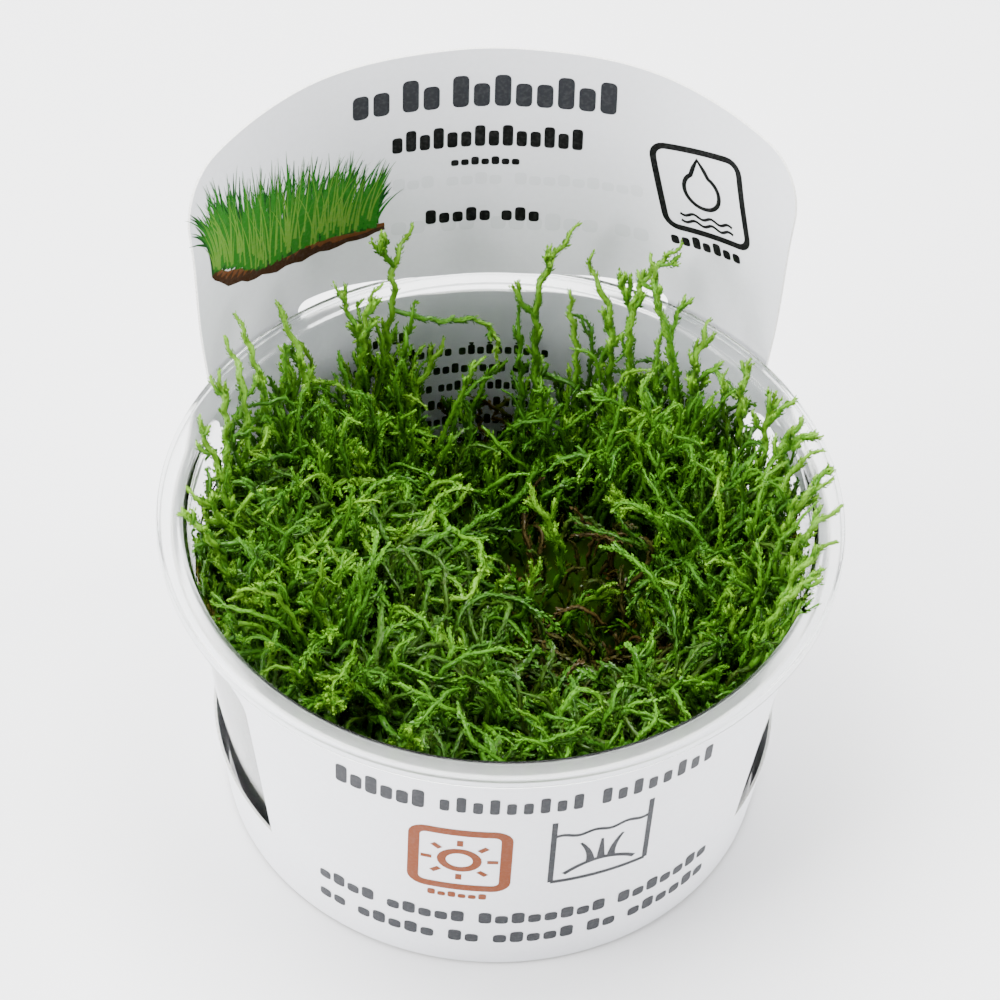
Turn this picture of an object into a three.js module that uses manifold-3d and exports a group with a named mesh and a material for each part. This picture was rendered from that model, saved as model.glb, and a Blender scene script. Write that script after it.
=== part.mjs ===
// Flame moss from tissue culture, standing in its clear plastic cup with a card sleeve around it.
// Millimetres, +Z up. The origin is the middle of the cup's flat underside. The front of the
// sleeve faces -Y, and its raised tab stands at +Y behind the cup's rim.

import * as THREE from 'three';
import { mergeVertices } from 'three/addons/utils/BufferGeometryUtils.js';
import Module from 'manifold-3d';

const wasm = await Module();
wasm.setup();

// Cup: a thin tapered wall, a flat base, and a flat flange with a short turned-down skirt
const CUP_HEIGHT = 56.2;
const RIM_RADIUS = 50.5;
const FLANGE_INNER_RADIUS = 47.0;
const FLANGE_THICKNESS = 0.8;
const SKIRT_DEPTH = 1.8;
const SKIRT_THICKNESS = 0.6;
const WALL_BOTTOM_RADIUS = 40.5;
const WALL_TOP_RADIUS = 46.6;
const WALL_BOTTOM_Z = 2.0;
const WALL_TOP_Z = 53.4;
const WALL_THICKNESS = 0.7;
const BASE_THICKNESS = 0.9;
const FOOT_WIDTH = 2.0;
const FOOT_BEVEL = 0.6;
const THROAT_WIDTH = 0.6;
const THROAT_DEPTH = 0.7;
const SHOULDER_RISE = 0.4;
const INNER_FOOT_RISE = 0.2;
const INNER_FOOT_WIDTH = 1.4;
const RIM_EDGE_ROUND = 0.4;
const CUP_SEGMENTS = 48;

// Sleeve: card on a cone, with a window in each side and a raised tab behind the cup
const CARD_THICKNESS = 0.4;
const SLEEVE_BOTTOM_RADIUS = 40.96;
const SLEEVE_SLOPE = 0.1312;
const SLEEVE_BOTTOM_Z = 0.4;
const SLEEVE_TOP_Z = 53.9;
const SLEEVE_STEP_DEGREES = 6;
const TAB_HALF_ANGLE = 55.9;
const TAB_PEAK_Z = 98.0;
const TAB_HALF_WIDTH = 53.4;
const TAB_BOW_RADIUS = 233;
const TAB_CORNER_RADIUS = 10;
const TAB_PUSH_OUT = 2.84;
const TAB_PUSH_START_ANGLE = 6;
const TAB_PUSH_FULL_ANGLE = 31;
const TAB_PUSH_FADE_START_ANGLE = 57;
const TAB_PUSH_FADE_END_ANGLE = 74;
const TAB_PUSH_START_Z = 43;
const TAB_PUSH_FULL_Z = 53;
const TAB_PUSH_EASE_Z = 60;
const TAB_PUSH_EASED_Z = 84;
const TAB_PUSH_EASE_SHARE = 0.5;
const SLOT_HALF_ANGLE = 34;
const SLOT_MIDDLE_Z = 55.0;
const SLOT_HALF_HEIGHT = 1.8;
const WINDOW_BACK_ANGLE = 55.4;
const WINDOW_FRONT_ANGLE = 126.1;
const WINDOW_BOTTOM_Z = 13.4;
const WINDOW_TOP_Z = 48.5;
const WINDOW_CORNER = 4.2;
const TAB_CORNER_STEPS = 6;
const TAB_BOW_STEPS = 16;
const WINDOW_CORNER_STEPS = 4;
const SLOT_END_STEPS = 6;

// How far inside, outside and above the card the cutters reach
const NEAR_RADIUS = 36;
const OUTER_RADIUS = 72;
const FAR_RADIUS = 120;
const CUT_MARGIN = 5;

// Moss mat: the dense mass of the tuft, which fills the cup and is highest along its sides
const MAT_GAP = 0.5;
const MAT_BOTTOM_Z = 1.3;
const MAT_BOTTOM_RADIUS = 36.8;
const MAT_FOOT_Z = 4.0;
const MAT_SURFACE_Z = 30.0;
const MAT_EDGE_DROP = 1.6;
const MAT_SECTORS = 40;
const MAT_RINGS = [0.1, 0.2, 0.3, 0.4, 0.5, 0.6, 0.7, 0.8, 0.9, 0.97];
const MAT_PEAK_HEIGHT = 3.8;
const SCATTER_AROUND = 12.9898;
const SCATTER_OUT = 78.233;
const SCATTER_SCALE = 43758.5453;
const MAT_HUMPS = [
  { x: -34, y: -3, height: 10, spread: 12 },
  { x: -18, y: -19, height: 7, spread: 10 },
  { x: -28, y: 20, height: 7, spread: 9 },
  { x: 38, y: -2, height: 12, spread: 9 },
  { x: 27, y: -27, height: 8, spread: 9 },
  { x: 30, y: 20, height: 8, spread: 8 },
  { x: 0, y: -36, height: 6, spread: 11 },
  { x: 0, y: 35, height: -3, spread: 10 },
  { x: 13, y: -4, height: -13, spread: 10 },
];
const TUFT_COUNT = 30;
const TUFT_TURN_DEGREES = 137.5;
const TUFT_REACH = 39;
const TUFT_HEIGHT = 4.0;
const TUFT_SPREAD = 3.4;

// Moss shoots: thin stems that thicken where the leaves stand and taper to a point
const STEM_RADIUS = 0.55;
const LEAFY_RADIUS = 0.95;
const TIP_RADIUS = 0.3;
const LEAFY_FROM = 0.35;
const TAPER_FROM = 0.8;
const TAPER_TO = 1.2;
const SHOOT_SIDES = 5;
const STEPS_PER_SPAN = 1.6;
const TWIG_SIDES = 4;
const TWIG_STEPS_PER_SPAN = 1;
const SHOOT_FOOT_Z = 16.0;
const TOUCH_GAP = 0.9;
const SIDE_SHOOT_SHARE = 0.92;
const TWIG_BEND_OUT = 2.1;
const TWIG_BEND_UP = 1.6;
const TWIG_TIP_OUT = 2.8;
const TWIG_TIP_UP = 4.1;
const TUBE_START_SIDE = [0.31, 0.95, 0.02];
const SAME_CORNER = 1e-5;

// Colours
const CLEAR_PLASTIC = {
  color: 0xe6eef0,
  roughness: 0.08,
  metalness: 0,
  transparent: true,
  opacity: 0.35,
};
const WHITE_CARD = { color: 0xf3f3f6, roughness: 0.6, metalness: 0 };
const DARK_MOSS = { color: 0x2c4a14, roughness: 0.9, metalness: 0 };
const BRIGHT_MOSS = { color: 0x5d9a1e, roughness: 0.6, metalness: 0 };

// Routes of the shoots, chosen by hand from the foot on the mat to the tip. Each fork leaves the
// shoot at its first point. Twigs are the small side shoots, at these fractions of the route.
const SHOOTS = [
  { foot: [-13, 30],
    route: [[-15, 34, 40], [-15, 37, 55], [-14, 39, 61], [-14, 41, 66], [-11, 45, 71]],
    forks: [[[-14, 41, 66], [-15.5, 41, 69], [-16, 41, 72]],
      [[-14, 38.5, 59], [-7, 40, 55], [-1, 42, 53], [2, 41, 50], [2, 40, 46]]] },
  { foot: [-20, 28], route: [[-20, 32, 42], [-19, 33, 57], [-18, 36, 63], [-16, 37.5, 66]],
    forks: [[[-19, 33.5, 58], [-21, 36, 61], [-22, 38, 64]]] },
  { foot: [-13, 23], route: [[-12, 31, 33], [-11, 35, 43], [-8, 38, 48], [-6, 40, 51]] },
  { foot: [-31, 14],
    route: [[-34, 17, 42], [-34, 20, 58], [-36, 24, 66], [-38, 27, 71]], twigs: [0.62] },
  { foot: [-26, 20], route: [[-28, 24, 42], [-28, 27, 56], [-29, 29, 61], [-32, 33, 67]] },
  { foot: [-34, 10], route: [[-37, 12, 45], [-37, 17, 61], [-38, 22, 65], [-40, 25, 68]] },
  { foot: [-35, 5],
    route: [[-39, 8, 42], [-40, 12, 54], [-40, 16, 62], [-41, 19, 67]], twigs: [0.8] },
  { foot: [-35, 0],
    route: [[-39, 4, 40], [-40, 7, 50], [-41, 9, 56], [-43, 11, 61], [-43.5, 11, 65]],
    twigs: [0.6] },
  { foot: [-34, -5],
    route: [[-38, 0, 40], [-39.5, 2, 49], [-42, 1, 56], [-44, 1, 59], [-46, 2, 60]] },
  { foot: [-34, -10],
    route: [[-38, -6, 40], [-40, -4, 48], [-42, -4, 54], [-44, -4, 58.5], [-47, -2.5, 60]],
    twigs: [0.55] },
  { foot: [7, 28], route: [[8, 34, 38], [8, 38, 52], [8, 40, 59], [10, 42, 65], [14, 43, 72]],
    forks: [[[8, 39, 56], [6, 40, 58], [4, 41, 61]]] },
  { foot: [13, 26], route: [[14, 33, 40], [14, 36, 52], [13, 38, 58], [13, 39, 62]] },
  { foot: [19, 26],
    route: [[19, 32, 42], [19, 35, 57], [18, 37, 62], [16, 40, 65], [16, 41, 68]], twigs: [0.7] },
  { foot: [24, 24],
    route: [[23, 30, 42], [21.5, 33, 58], [23, 36, 65], [26, 36.5, 70], [29, 36, 74]],
    forks: [[[22, 34.5, 61], [20.5, 36.5, 64], [20.5, 37, 67]]] },
  { foot: [29, 20], route: [[28.5, 26, 45], [27, 28, 61], [25, 30.5, 68], [24, 33, 75]],
    forks: [[[27, 28, 61], [28, 30, 64], [29.5, 32, 67]]] },
  { foot: [34, 14], route: [[32, 22, 45], [31, 26, 57], [32, 28, 61], [33, 30, 64]],
    forks: [[[31, 25.5, 55], [34, 25, 58], [36, 23, 55]]] },
  { foot: [36, 9],
    route: [[38, 16, 42], [37.5, 20, 53], [38, 22.5, 58], [39, 24.5, 61]], twigs: [0.75] },
  { foot: [37, 4], route: [[39.5, 10, 42], [40.5, 13.5, 52], [41, 16, 57], [42.5, 18, 60.5]],
    forks: [[[41, 15.5, 56], [43, 15.5, 59.5], [45, 16, 61]]] },
  { foot: [38, 0], route: [[41, 5, 42], [41.5, 8, 52], [43, 10, 57], [45.3, 12, 60.5]],
    forks: [[[42.5, 9.5, 56], [44.5, 8.7, 60], [47, 9.2, 61]]] },
  { foot: [38, -5],
    route: [[41, 0, 42], [41.8, 3, 52], [43.5, 5, 57], [45.5, 5, 60], [47.5, 5, 61.5]] },
  { foot: [37, -9],
    route: [[40, -6, 42], [41.5, -3, 51], [43.5, -2, 57], [46, -1, 60], [48.7, 0, 60.5]],
    twigs: [0.7] },
  { foot: [37, -14],
    route: [[40, -11, 42], [41, -9, 51], [43.5, -8, 57], [46.8, -6, 59], [49.7, -4.5, 59.5]] },
  { foot: [34.5, -17.5],
    route: [[38.5, -17, 42], [40, -15, 51], [42.5, -14, 57], [45.3, -12.5, 59], [47.7, -11, 59.3]],
    twigs: [0.5] },
  { foot: [31, -21],
    route: [[35.5, -21, 42], [37.5, -20, 51], [40.5, -19, 57], [43.4, -18, 59], [45, -16.5, 59.8]] },
  { foot: [-22, -1],
    route: [[-23, -5, 38], [-24, -5, 45], [-24, -3, 49], [-28, 0, 51]], twigs: [0.6] },
  { foot: [-18, -9],
    route: [[-21, -11, 38], [-25, -14, 45], [-27, -12, 48], [-30, -13, 50]], twigs: [0.55] },
  { foot: [-20, 4], route: [[-20, 2, 36], [-20, 2, 42], [-20, 4, 47]] },
  { foot: [-24, 15],
    route: [[-23, 13, 39], [-19, 8, 43], [-15, 5, 45], [-12, 5, 46], [-9, 8, 47]], twigs: [0.5] },
  { foot: [-10, 20],
    route: [[-9, 17, 38], [-7, 7, 44], [-3, 2, 46], [-3, -3, 46], [-5, -7, 45], [-9, -7, 44],
      [-13, -5, 43]] },
  { foot: [-9, -3], route: [[-11, -6, 37], [-14, -11, 41], [-18, -14, 42], [-21, -16, 44]] },
  { foot: [-4, -16], route: [[-5, -17, 37], [-8, -15, 42], [-11, -13, 46]] },
  { foot: [-34, -14],
    route: [[-36, -14, 40], [-36, -10, 46], [-38, -9, 49], [-40, -11, 50]], twigs: [0.5] },
  { foot: [-20, -20],
    route: [[-23, -21, 40], [-24, -24, 45], [-26, -28, 48], [-26, -32, 50]], twigs: [0.5] },
  { foot: [9, 11], route: [[10, 8, 30], [10, 8, 38], [7, 10, 44], [5, 12, 48]], twigs: [0.5] },
  { foot: [6, 4], route: [[10, 6, 22], [15, 6, 28], [20, 5, 31]] },
  { foot: [8, -9], route: [[13, -9, 20], [19, -8, 25], [23, -6, 28], [23, -3, 32], [21, 0, 36]] },
  { foot: [33, -13],
    route: [[34, -14, 32], [34.5, -15, 40], [33.5, -14, 44], [33.5, -13, 48]], twigs: [0.6] },
  { foot: [31, 3], route: [[31, 4, 33], [29, 4, 38], [27, 5, 42]] },
  { foot: [4, -26], route: [[6, -25, 30], [8, -24, 34], [5, -23, 40]] },
  { foot: [2, 1], route: [[1, 0, 32], [0, 0, 38], [1, -1, 42]],
    forks: [[[1.5, 0.5, 30], [4, -1, 34], [5, 0, 39], [5, 1, 43]]] },
  { foot: [24, 16], route: [[23, 15, 32], [21, 14, 38], [18, 14, 42]], twigs: [0.6] },
  { foot: [-12, -30], route: [[-13, -33, 40], [-15, -36, 47], [-13, -38, 50]], twigs: [0.5] },
];

const RADIANS = Math.PI / 180;

// A closed solid of a geometry, with its shared corners merged and flat triangles left out.
function solidOf(geometry) {
  const bare = geometry.clone();
  bare.deleteAttribute('normal');
  bare.deleteAttribute('uv');
  const merged = mergeVertices(bare, SAME_CORNER);
  const corners = merged.index.array;
  const kept = [];
  for (let i = 0; i < corners.length; i += 3) {
    const [a, b, c] = [corners[i], corners[i + 1], corners[i + 2]];
    if (a !== b && b !== c && c !== a) kept.push(a, b, c);
  }
  return new wasm.Manifold(new wasm.Mesh({
    numProp: 3,
    vertProperties: new Float32Array(merged.attributes.position.array),
    triVerts: new Uint32Array(kept),
  }));
}

// The geometry of a solid, taken back for a mesh.
function geometryOf(solid) {
  const mesh = solid.getMesh();
  const geometry = new THREE.BufferGeometry();
  geometry.setAttribute('position', new THREE.BufferAttribute(new Float32Array(mesh.vertProperties), 3));
  geometry.setIndex(new THREE.BufferAttribute(new Uint32Array(mesh.triVerts), 1));
  geometry.computeVertexNormals();
  return geometry;
}

// A smooth step from 0 to 1 between two limits.
function ramp(from, to, value) {
  return THREE.MathUtils.smoothstep(value, from, to);
}

// A point at an angle in degrees from +Y, positive towards +X.
function aroundFromBack(angle, radius, z) {
  return [radius * Math.sin(angle * RADIANS), radius * Math.cos(angle * RADIANS), z];
}

// The cup, turned from its cross-section around +Z.
function makeCup() {
  const flangeUnder = CUP_HEIGHT - FLANGE_THICKNESS;
  const skirtBottom = CUP_HEIGHT - SKIRT_DEPTH;
  const innerTop = WALL_TOP_RADIUS - WALL_THICKNESS;
  const innerBottom = WALL_BOTTOM_RADIUS - WALL_THICKNESS;
  const section = [
    [0, 0],
    [WALL_BOTTOM_RADIUS - FOOT_WIDTH, 0],
    [WALL_BOTTOM_RADIUS - FOOT_BEVEL, FOOT_BEVEL],
    [WALL_BOTTOM_RADIUS, WALL_BOTTOM_Z],
    [WALL_TOP_RADIUS, WALL_TOP_Z],
    [FLANGE_INNER_RADIUS, flangeUnder],
    [RIM_RADIUS - SKIRT_THICKNESS, flangeUnder],
    [RIM_RADIUS - SKIRT_THICKNESS, skirtBottom],
    [RIM_RADIUS, skirtBottom],
    [RIM_RADIUS, CUP_HEIGHT - RIM_EDGE_ROUND],
    [RIM_RADIUS - RIM_EDGE_ROUND, CUP_HEIGHT],
    [FLANGE_INNER_RADIUS, CUP_HEIGHT],
    [innerTop + THROAT_WIDTH, CUP_HEIGHT - THROAT_DEPTH],
    [innerTop, WALL_TOP_Z + SHOULDER_RISE],
    [innerBottom, WALL_BOTTOM_Z + INNER_FOOT_RISE],
    [innerBottom - INNER_FOOT_WIDTH, BASE_THICKNESS],
    [0, BASE_THICKNESS],
  ];
  const turned = new THREE.LatheGeometry(section.map(([r, z]) => new THREE.Vector2(r, z)), CUP_SEGMENTS);
  turned.rotateX(Math.PI / 2);
  return geometryOf(solidOf(turned));
}

// The radius of the card's inner face. Beside the slot the tab is bent out past the cup's rim.
function cardInnerRadius(angle, z) {
  const side = Math.abs(angle);
  const out = ramp(TAB_PUSH_START_ANGLE, TAB_PUSH_FULL_ANGLE, side)
    * (1 - ramp(TAB_PUSH_FADE_START_ANGLE, TAB_PUSH_FADE_END_ANGLE, side));
  const up = ramp(TAB_PUSH_START_Z, TAB_PUSH_FULL_Z, z)
    * (1 - TAB_PUSH_EASE_SHARE * ramp(TAB_PUSH_EASE_Z, TAB_PUSH_EASED_Z, z));
  return SLEEVE_BOTTOM_RADIUS + SLEEVE_SLOPE * z + TAB_PUSH_OUT * out * up;
}

// The whole cone of card before it is cut, as one closed shell.
function makeCardCone() {
  const easeMiddleZ = (TAB_PUSH_EASE_Z + TAB_PUSH_EASED_Z) / 2;
  const levels = [
    SLEEVE_BOTTOM_Z, TAB_PUSH_START_Z, TAB_PUSH_FULL_Z, TAB_PUSH_EASE_Z, easeMiddleZ, TAB_PUSH_EASED_Z,
    TAB_PEAK_Z + CUT_MARGIN,
  ];
  const columns = 360 / SLEEVE_STEP_DEGREES;
  const positions = [];
  for (let column = 0; column < columns; column += 1) {
    const angle = -180 + column * SLEEVE_STEP_DEGREES;
    const outside = levels.map((z) => aroundFromBack(angle, cardInnerRadius(angle, z) + CARD_THICKNESS, z));
    const inside = levels.map((z) => aroundFromBack(angle, cardInnerRadius(angle, z), z)).reverse();
    positions.push(...outside.flat(), ...inside.flat());
  }
  const ring = levels.length * 2;
  const indices = [];
  for (let column = 0; column < columns; column += 1) {
    const here = column * ring;
    const next = ((column + 1) % columns) * ring;
    for (let k = 0; k < ring; k += 1) {
      const up = (k + 1) % ring;
      indices.push(here + k, here + up, next + k, next + k, here + up, next + up);
    }
  }
  const cone = new THREE.BufferGeometry();
  cone.setAttribute('position', new THREE.Float32BufferAttribute(positions, 3));
  cone.setIndex(indices);
  return solidOf(cone);
}

// A cutter whose outline, in degrees from the back and height, is carried straight out from the axis.
function radialCutter(outline, nearRadius, farRadius) {
  const contour = outline.map(([angle, z]) => new THREE.Vector2(angle, z));
  if (THREE.ShapeUtils.isClockWise(contour)) contour.reverse();
  const count = contour.length;
  const positions = [];
  for (const radius of [nearRadius, farRadius]) {
    for (const { x, y } of contour) positions.push(...aroundFromBack(x, radius, y));
  }
  const indices = [];
  for (const [a, b, c] of THREE.ShapeUtils.triangulateShape(contour, [])) {
    indices.push(a, b, c, count + a, count + c, count + b);
  }
  for (let i = 0; i < count; i += 1) {
    const j = (i + 1) % count;
    indices.push(i, count + j, j, i, count + i, count + j);
  }
  const cutter = new THREE.BufferGeometry();
  cutter.setAttribute('position', new THREE.Float32BufferAttribute(positions, 3));
  cutter.setIndex(indices);
  return solidOf(cutter);
}

// Points of an elliptical arc in degrees and height, from one turn angle to another.
function arcPoints(angle, z, halfAngle, halfHeight, fromTurn, toTurn, steps) {
  const points = [];
  for (let i = 0; i <= steps; i += 1) {
    const turn = (fromTurn + (toTurn - fromTurn) * i / steps) * RADIANS;
    points.push([angle + halfAngle * Math.cos(turn), z + halfHeight * Math.sin(turn)]);
  }
  return points;
}

// The tab's edge from its right side over the top to its left side, as distances along the flat card
// from its middle, and heights: a bow that meets round corners.
function tabEdge() {
  const cornerX = TAB_HALF_WIDTH - TAB_CORNER_RADIUS;
  const lean = Math.asin(cornerX / (TAB_BOW_RADIUS - TAB_CORNER_RADIUS));
  const bowMiddleZ = TAB_PEAK_Z - TAB_BOW_RADIUS;
  const cornerZ = bowMiddleZ + (TAB_BOW_RADIUS - TAB_CORNER_RADIUS) * Math.cos(lean);
  const right = [];
  for (let i = 0; i <= TAB_CORNER_STEPS; i += 1) {
    const turn = (Math.PI / 2 - lean) * i / TAB_CORNER_STEPS;
    right.push([cornerX + TAB_CORNER_RADIUS * Math.cos(turn), cornerZ + TAB_CORNER_RADIUS * Math.sin(turn)]);
  }
  for (let i = 1; i <= TAB_BOW_STEPS / 2; i += 1) {
    const turn = lean * (1 - 2 * i / TAB_BOW_STEPS);
    right.push([TAB_BOW_RADIUS * Math.sin(turn), bowMiddleZ + TAB_BOW_RADIUS * Math.cos(turn)]);
  }
  const left = right.slice(0, -1).reverse();
  return [...right, ...left.map(([x, z]) => [-x, z])];
}

// What the tab keeps of the cone: a wedge about the back, under the tab's edge seen from the front.
function makeTabKeeper() {
  const beyond = 1.5 * TAB_HALF_WIDTH;
  const edge = new THREE.Shape();
  const wideAngle = TAB_HALF_ANGLE / TAB_HALF_WIDTH;
  const seen = tabEdge().map(([x, z]) => {
    const angle = x * wideAngle;
    return [aroundFromBack(angle, cardInnerRadius(angle, z) + CARD_THICKNESS / 2, z)[0], z];
  });
  edge.moveTo(-beyond, WINDOW_TOP_Z);
  edge.lineTo(beyond, WINDOW_TOP_Z);
  edge.lineTo(beyond, seen[0][1]);
  for (const [x, z] of seen) edge.lineTo(x, z);
  edge.lineTo(-beyond, seen[0][1]);
  const front = new THREE.ExtrudeGeometry(edge, { depth: FAR_RADIUS, bevelEnabled: false });
  front.rotateX(Math.PI / 2);
  front.translate(0, FAR_RADIUS, 0);
  const top = TAB_PEAK_Z + CUT_MARGIN;
  const wedge = [
    [-TAB_HALF_ANGLE, WINDOW_TOP_Z], [TAB_HALF_ANGLE, WINDOW_TOP_Z],
    [TAB_HALF_ANGLE, top], [-TAB_HALF_ANGLE, top],
  ];
  return solidOf(front).intersect(radialCutter(wedge, NEAR_RADIUS / 2, FAR_RADIUS));
}

// One side window, with square lower corners and rounded upper ones.
function windowOutline(side) {
  const cornerAngle = WINDOW_CORNER / (SLEEVE_BOTTOM_RADIUS + SLEEVE_SLOPE * WINDOW_TOP_Z) / RADIANS;
  const middle = (WINDOW_BACK_ANGLE + WINDOW_FRONT_ANGLE) / 2;
  const corner = (angle, fromTurn) => arcPoints(
    angle, WINDOW_TOP_Z - WINDOW_CORNER, cornerAngle, WINDOW_CORNER,
    fromTurn, fromTurn + 90, WINDOW_CORNER_STEPS,
  );
  const outline = [
    [WINDOW_BACK_ANGLE, WINDOW_BOTTOM_Z],
    [middle, WINDOW_BOTTOM_Z],
    [WINDOW_FRONT_ANGLE, WINDOW_BOTTOM_Z],
    ...corner(WINDOW_FRONT_ANGLE - cornerAngle, 0),
    [middle, WINDOW_TOP_Z],
    ...corner(WINDOW_BACK_ANGLE + cornerAngle, 90),
  ];
  return outline.map(([angle, z]) => [side * angle, z]);
}

// The slot that the rim passes through, with round ends.
function slotOutline() {
  const endAngle = SLOT_HALF_HEIGHT / (SLEEVE_BOTTOM_RADIUS + SLEEVE_SLOPE * SLOT_MIDDLE_Z) / RADIANS;
  const reach = SLOT_HALF_ANGLE - endAngle;
  const outline = arcPoints(reach, SLOT_MIDDLE_Z, endAngle, SLOT_HALF_HEIGHT, -90, 90, SLOT_END_STEPS);
  outline.push([0, SLOT_MIDDLE_Z + SLOT_HALF_HEIGHT]);
  outline.push(...arcPoints(-reach, SLOT_MIDDLE_Z, endAngle, SLOT_HALF_HEIGHT, 90, 270, SLOT_END_STEPS));
  outline.push([0, SLOT_MIDDLE_Z - SLOT_HALF_HEIGHT]);
  return outline;
}

// The card sleeve: the cone less what stands above its top edge beside the tab, the windows and the slot.
function makeSleeve() {
  const upper = new THREE.BoxGeometry(2 * FAR_RADIUS, 2 * FAR_RADIUS, TAB_PEAK_Z);
  upper.translate(0, 0, SLEEVE_TOP_Z + TAB_PEAK_Z / 2);
  let card = makeCardCone().subtract(solidOf(upper).subtract(makeTabKeeper()));
  for (const outline of [windowOutline(1), windowOutline(-1), slotOutline()]) {
    card = card.subtract(radialCutter(outline, NEAR_RADIUS, OUTER_RADIUS));
  }
  return geometryOf(card);
}

// A hump of a given height and spread at a place, seen from a distance squared.
function bump(height, spread, awaySquared) {
  return height * Math.exp(-awaySquared / (2 * spread ** 2));
}

// The height of the mat's surface: a level with broad humps, a hollow and small tufts.
function matHeight(x, y) {
  let z = MAT_SURFACE_Z;
  for (const hump of MAT_HUMPS) {
    z += bump(hump.height, hump.spread, (x - hump.x) ** 2 + (y - hump.y) ** 2);
  }
  for (let k = 0; k < TUFT_COUNT; k += 1) {
    const turn = k * TUFT_TURN_DEGREES * RADIANS;
    const reach = TUFT_REACH * Math.sqrt((k + 0.5) / TUFT_COUNT);
    const away = (x - reach * Math.cos(turn)) ** 2 + (y - reach * Math.sin(turn)) ** 2;
    z += bump(TUFT_HEIGHT, TUFT_SPREAD, away);
  }
  return z;
}

// The radius of the mat's side, just inside the cup's wall.
function matSideRadius(z) {
  const taper = (WALL_TOP_RADIUS - WALL_BOTTOM_RADIUS) / (WALL_TOP_Z - WALL_BOTTOM_Z);
  return WALL_BOTTOM_RADIUS - WALL_THICKNESS - MAT_GAP + taper * (z - WALL_BOTTOM_Z);
}

// How far a corner of the mat's top stands above or below its surface, scattered without a pattern,
// so that the top has small peaks. They are lower near the middle, where the corners are close.
function matPeak(ring, sector) {
  const wave = SCATTER_SCALE * Math.sin(SCATTER_AROUND * (sector + 1) + SCATTER_OUT * (ring + 1));
  const scatter = wave - Math.floor(wave) - 0.5;
  return MAT_PEAK_HEIGHT * Math.min(1, 2 * (MAT_RINGS[ring] ?? 1)) * scatter;
}

// The mat, as rings around the axis from the top's middle, over the edge and down to the base.
function makeMat() {
  const rings = [];
  MAT_RINGS.forEach((share, ring) => {
    rings.push((c, s, sector) => {
      const r = share * matSideRadius(MAT_SURFACE_Z);
      return [r * c, r * s, matHeight(r * c, r * s) + matPeak(ring, sector)];
    });
  });
  rings.push((c, s, sector) => {
    const r = matSideRadius(MAT_SURFACE_Z);
    const z = matHeight(r * c, r * s) - MAT_EDGE_DROP + matPeak(MAT_RINGS.length, sector);
    return [matSideRadius(z) * c, matSideRadius(z) * s, z];
  });
  rings.push((c, s) => [matSideRadius(MAT_FOOT_Z) * c, matSideRadius(MAT_FOOT_Z) * s, MAT_FOOT_Z]);
  rings.push((c, s) => [MAT_BOTTOM_RADIUS * c, MAT_BOTTOM_RADIUS * s, MAT_BOTTOM_Z]);
  const positions = [0, 0, matHeight(0, 0)];
  for (const ring of rings) {
    for (let k = 0; k < MAT_SECTORS; k += 1) {
      const turn = 2 * Math.PI * k / MAT_SECTORS;
      positions.push(...ring(Math.cos(turn), Math.sin(turn), k));
    }
  }
  const bottomMiddle = positions.length / 3;
  positions.push(0, 0, MAT_BOTTOM_Z);
  const indices = [];
  const last = 1 + (rings.length - 1) * MAT_SECTORS;
  for (let k = 0; k < MAT_SECTORS; k += 1) {
    const next = (k + 1) % MAT_SECTORS;
    indices.push(0, 1 + k, 1 + next);
    for (let level = 0; level < rings.length - 1; level += 1) {
      const inner = 1 + level * MAT_SECTORS;
      const outer = inner + MAT_SECTORS;
      indices.push(inner + k, outer + k, inner + next, inner + next, outer + k, outer + next);
    }
    indices.push(last + k, bottomMiddle, last + next);
  }
  const mat = new THREE.BufferGeometry();
  mat.setAttribute('position', new THREE.Float32BufferAttribute(positions, 3));
  mat.setIndex(indices);
  return solidOf(mat);
}

// The radius of a shoot at a share of its length: bare stem, leafy middle, tapered tip.
function shootRadius(share) {
  const leafy = STEM_RADIUS + (LEAFY_RADIUS - STEM_RADIUS) * ramp(0, LEAFY_FROM, share);
  return leafy + (TIP_RADIUS - leafy) * ramp(TAPER_FROM, TAPER_TO, share);
}

// A smooth curve through hand-chosen points.
function curveThrough(points) {
  return new THREE.CatmullRomCurve3(points.map((p) => new THREE.Vector3(...p)), false, 'catmullrom', 0.5);
}

// A closed tapered tube through hand-chosen points.
function makeStem(points, radiusAt, sides, stepsPerSpan) {
  const curve = curveThrough(points);
  const steps = Math.ceil((points.length - 1) * stepsPerSpan);
  const positions = [];
  const across = new THREE.Vector3(...TUBE_START_SIDE);
  const side = new THREE.Vector3();
  for (let i = 0; i <= steps; i += 1) {
    const middle = curve.getPoint(i / steps);
    const along = curve.getTangent(i / steps);
    across.addScaledVector(along, -across.dot(along)).normalize();
    side.crossVectors(along, across);
    for (let k = 0; k < sides; k += 1) {
      const turn = 2 * Math.PI * k / sides;
      const corner = middle.clone()
        .addScaledVector(across, radiusAt(i / steps) * Math.cos(turn))
        .addScaledVector(side, radiusAt(i / steps) * Math.sin(turn));
      positions.push(corner.x, corner.y, corner.z);
    }
  }
  const indices = [];
  for (let i = 0; i < steps; i += 1) {
    for (let k = 0; k < sides; k += 1) {
      const here = i * sides + k;
      const beside = i * sides + (k + 1) % sides;
      indices.push(here, beside, here + sides, beside, beside + sides, here + sides);
    }
  }
  const end = steps * sides;
  for (let k = 1; k < sides - 1; k += 1) {
    indices.push(0, k + 1, k, end, end + k, end + k + 1);
  }
  const stem = new THREE.BufferGeometry();
  stem.setAttribute('position', new THREE.Float32BufferAttribute(positions, 3));
  stem.setIndex(indices);
  return solidOf(stem);
}

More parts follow.
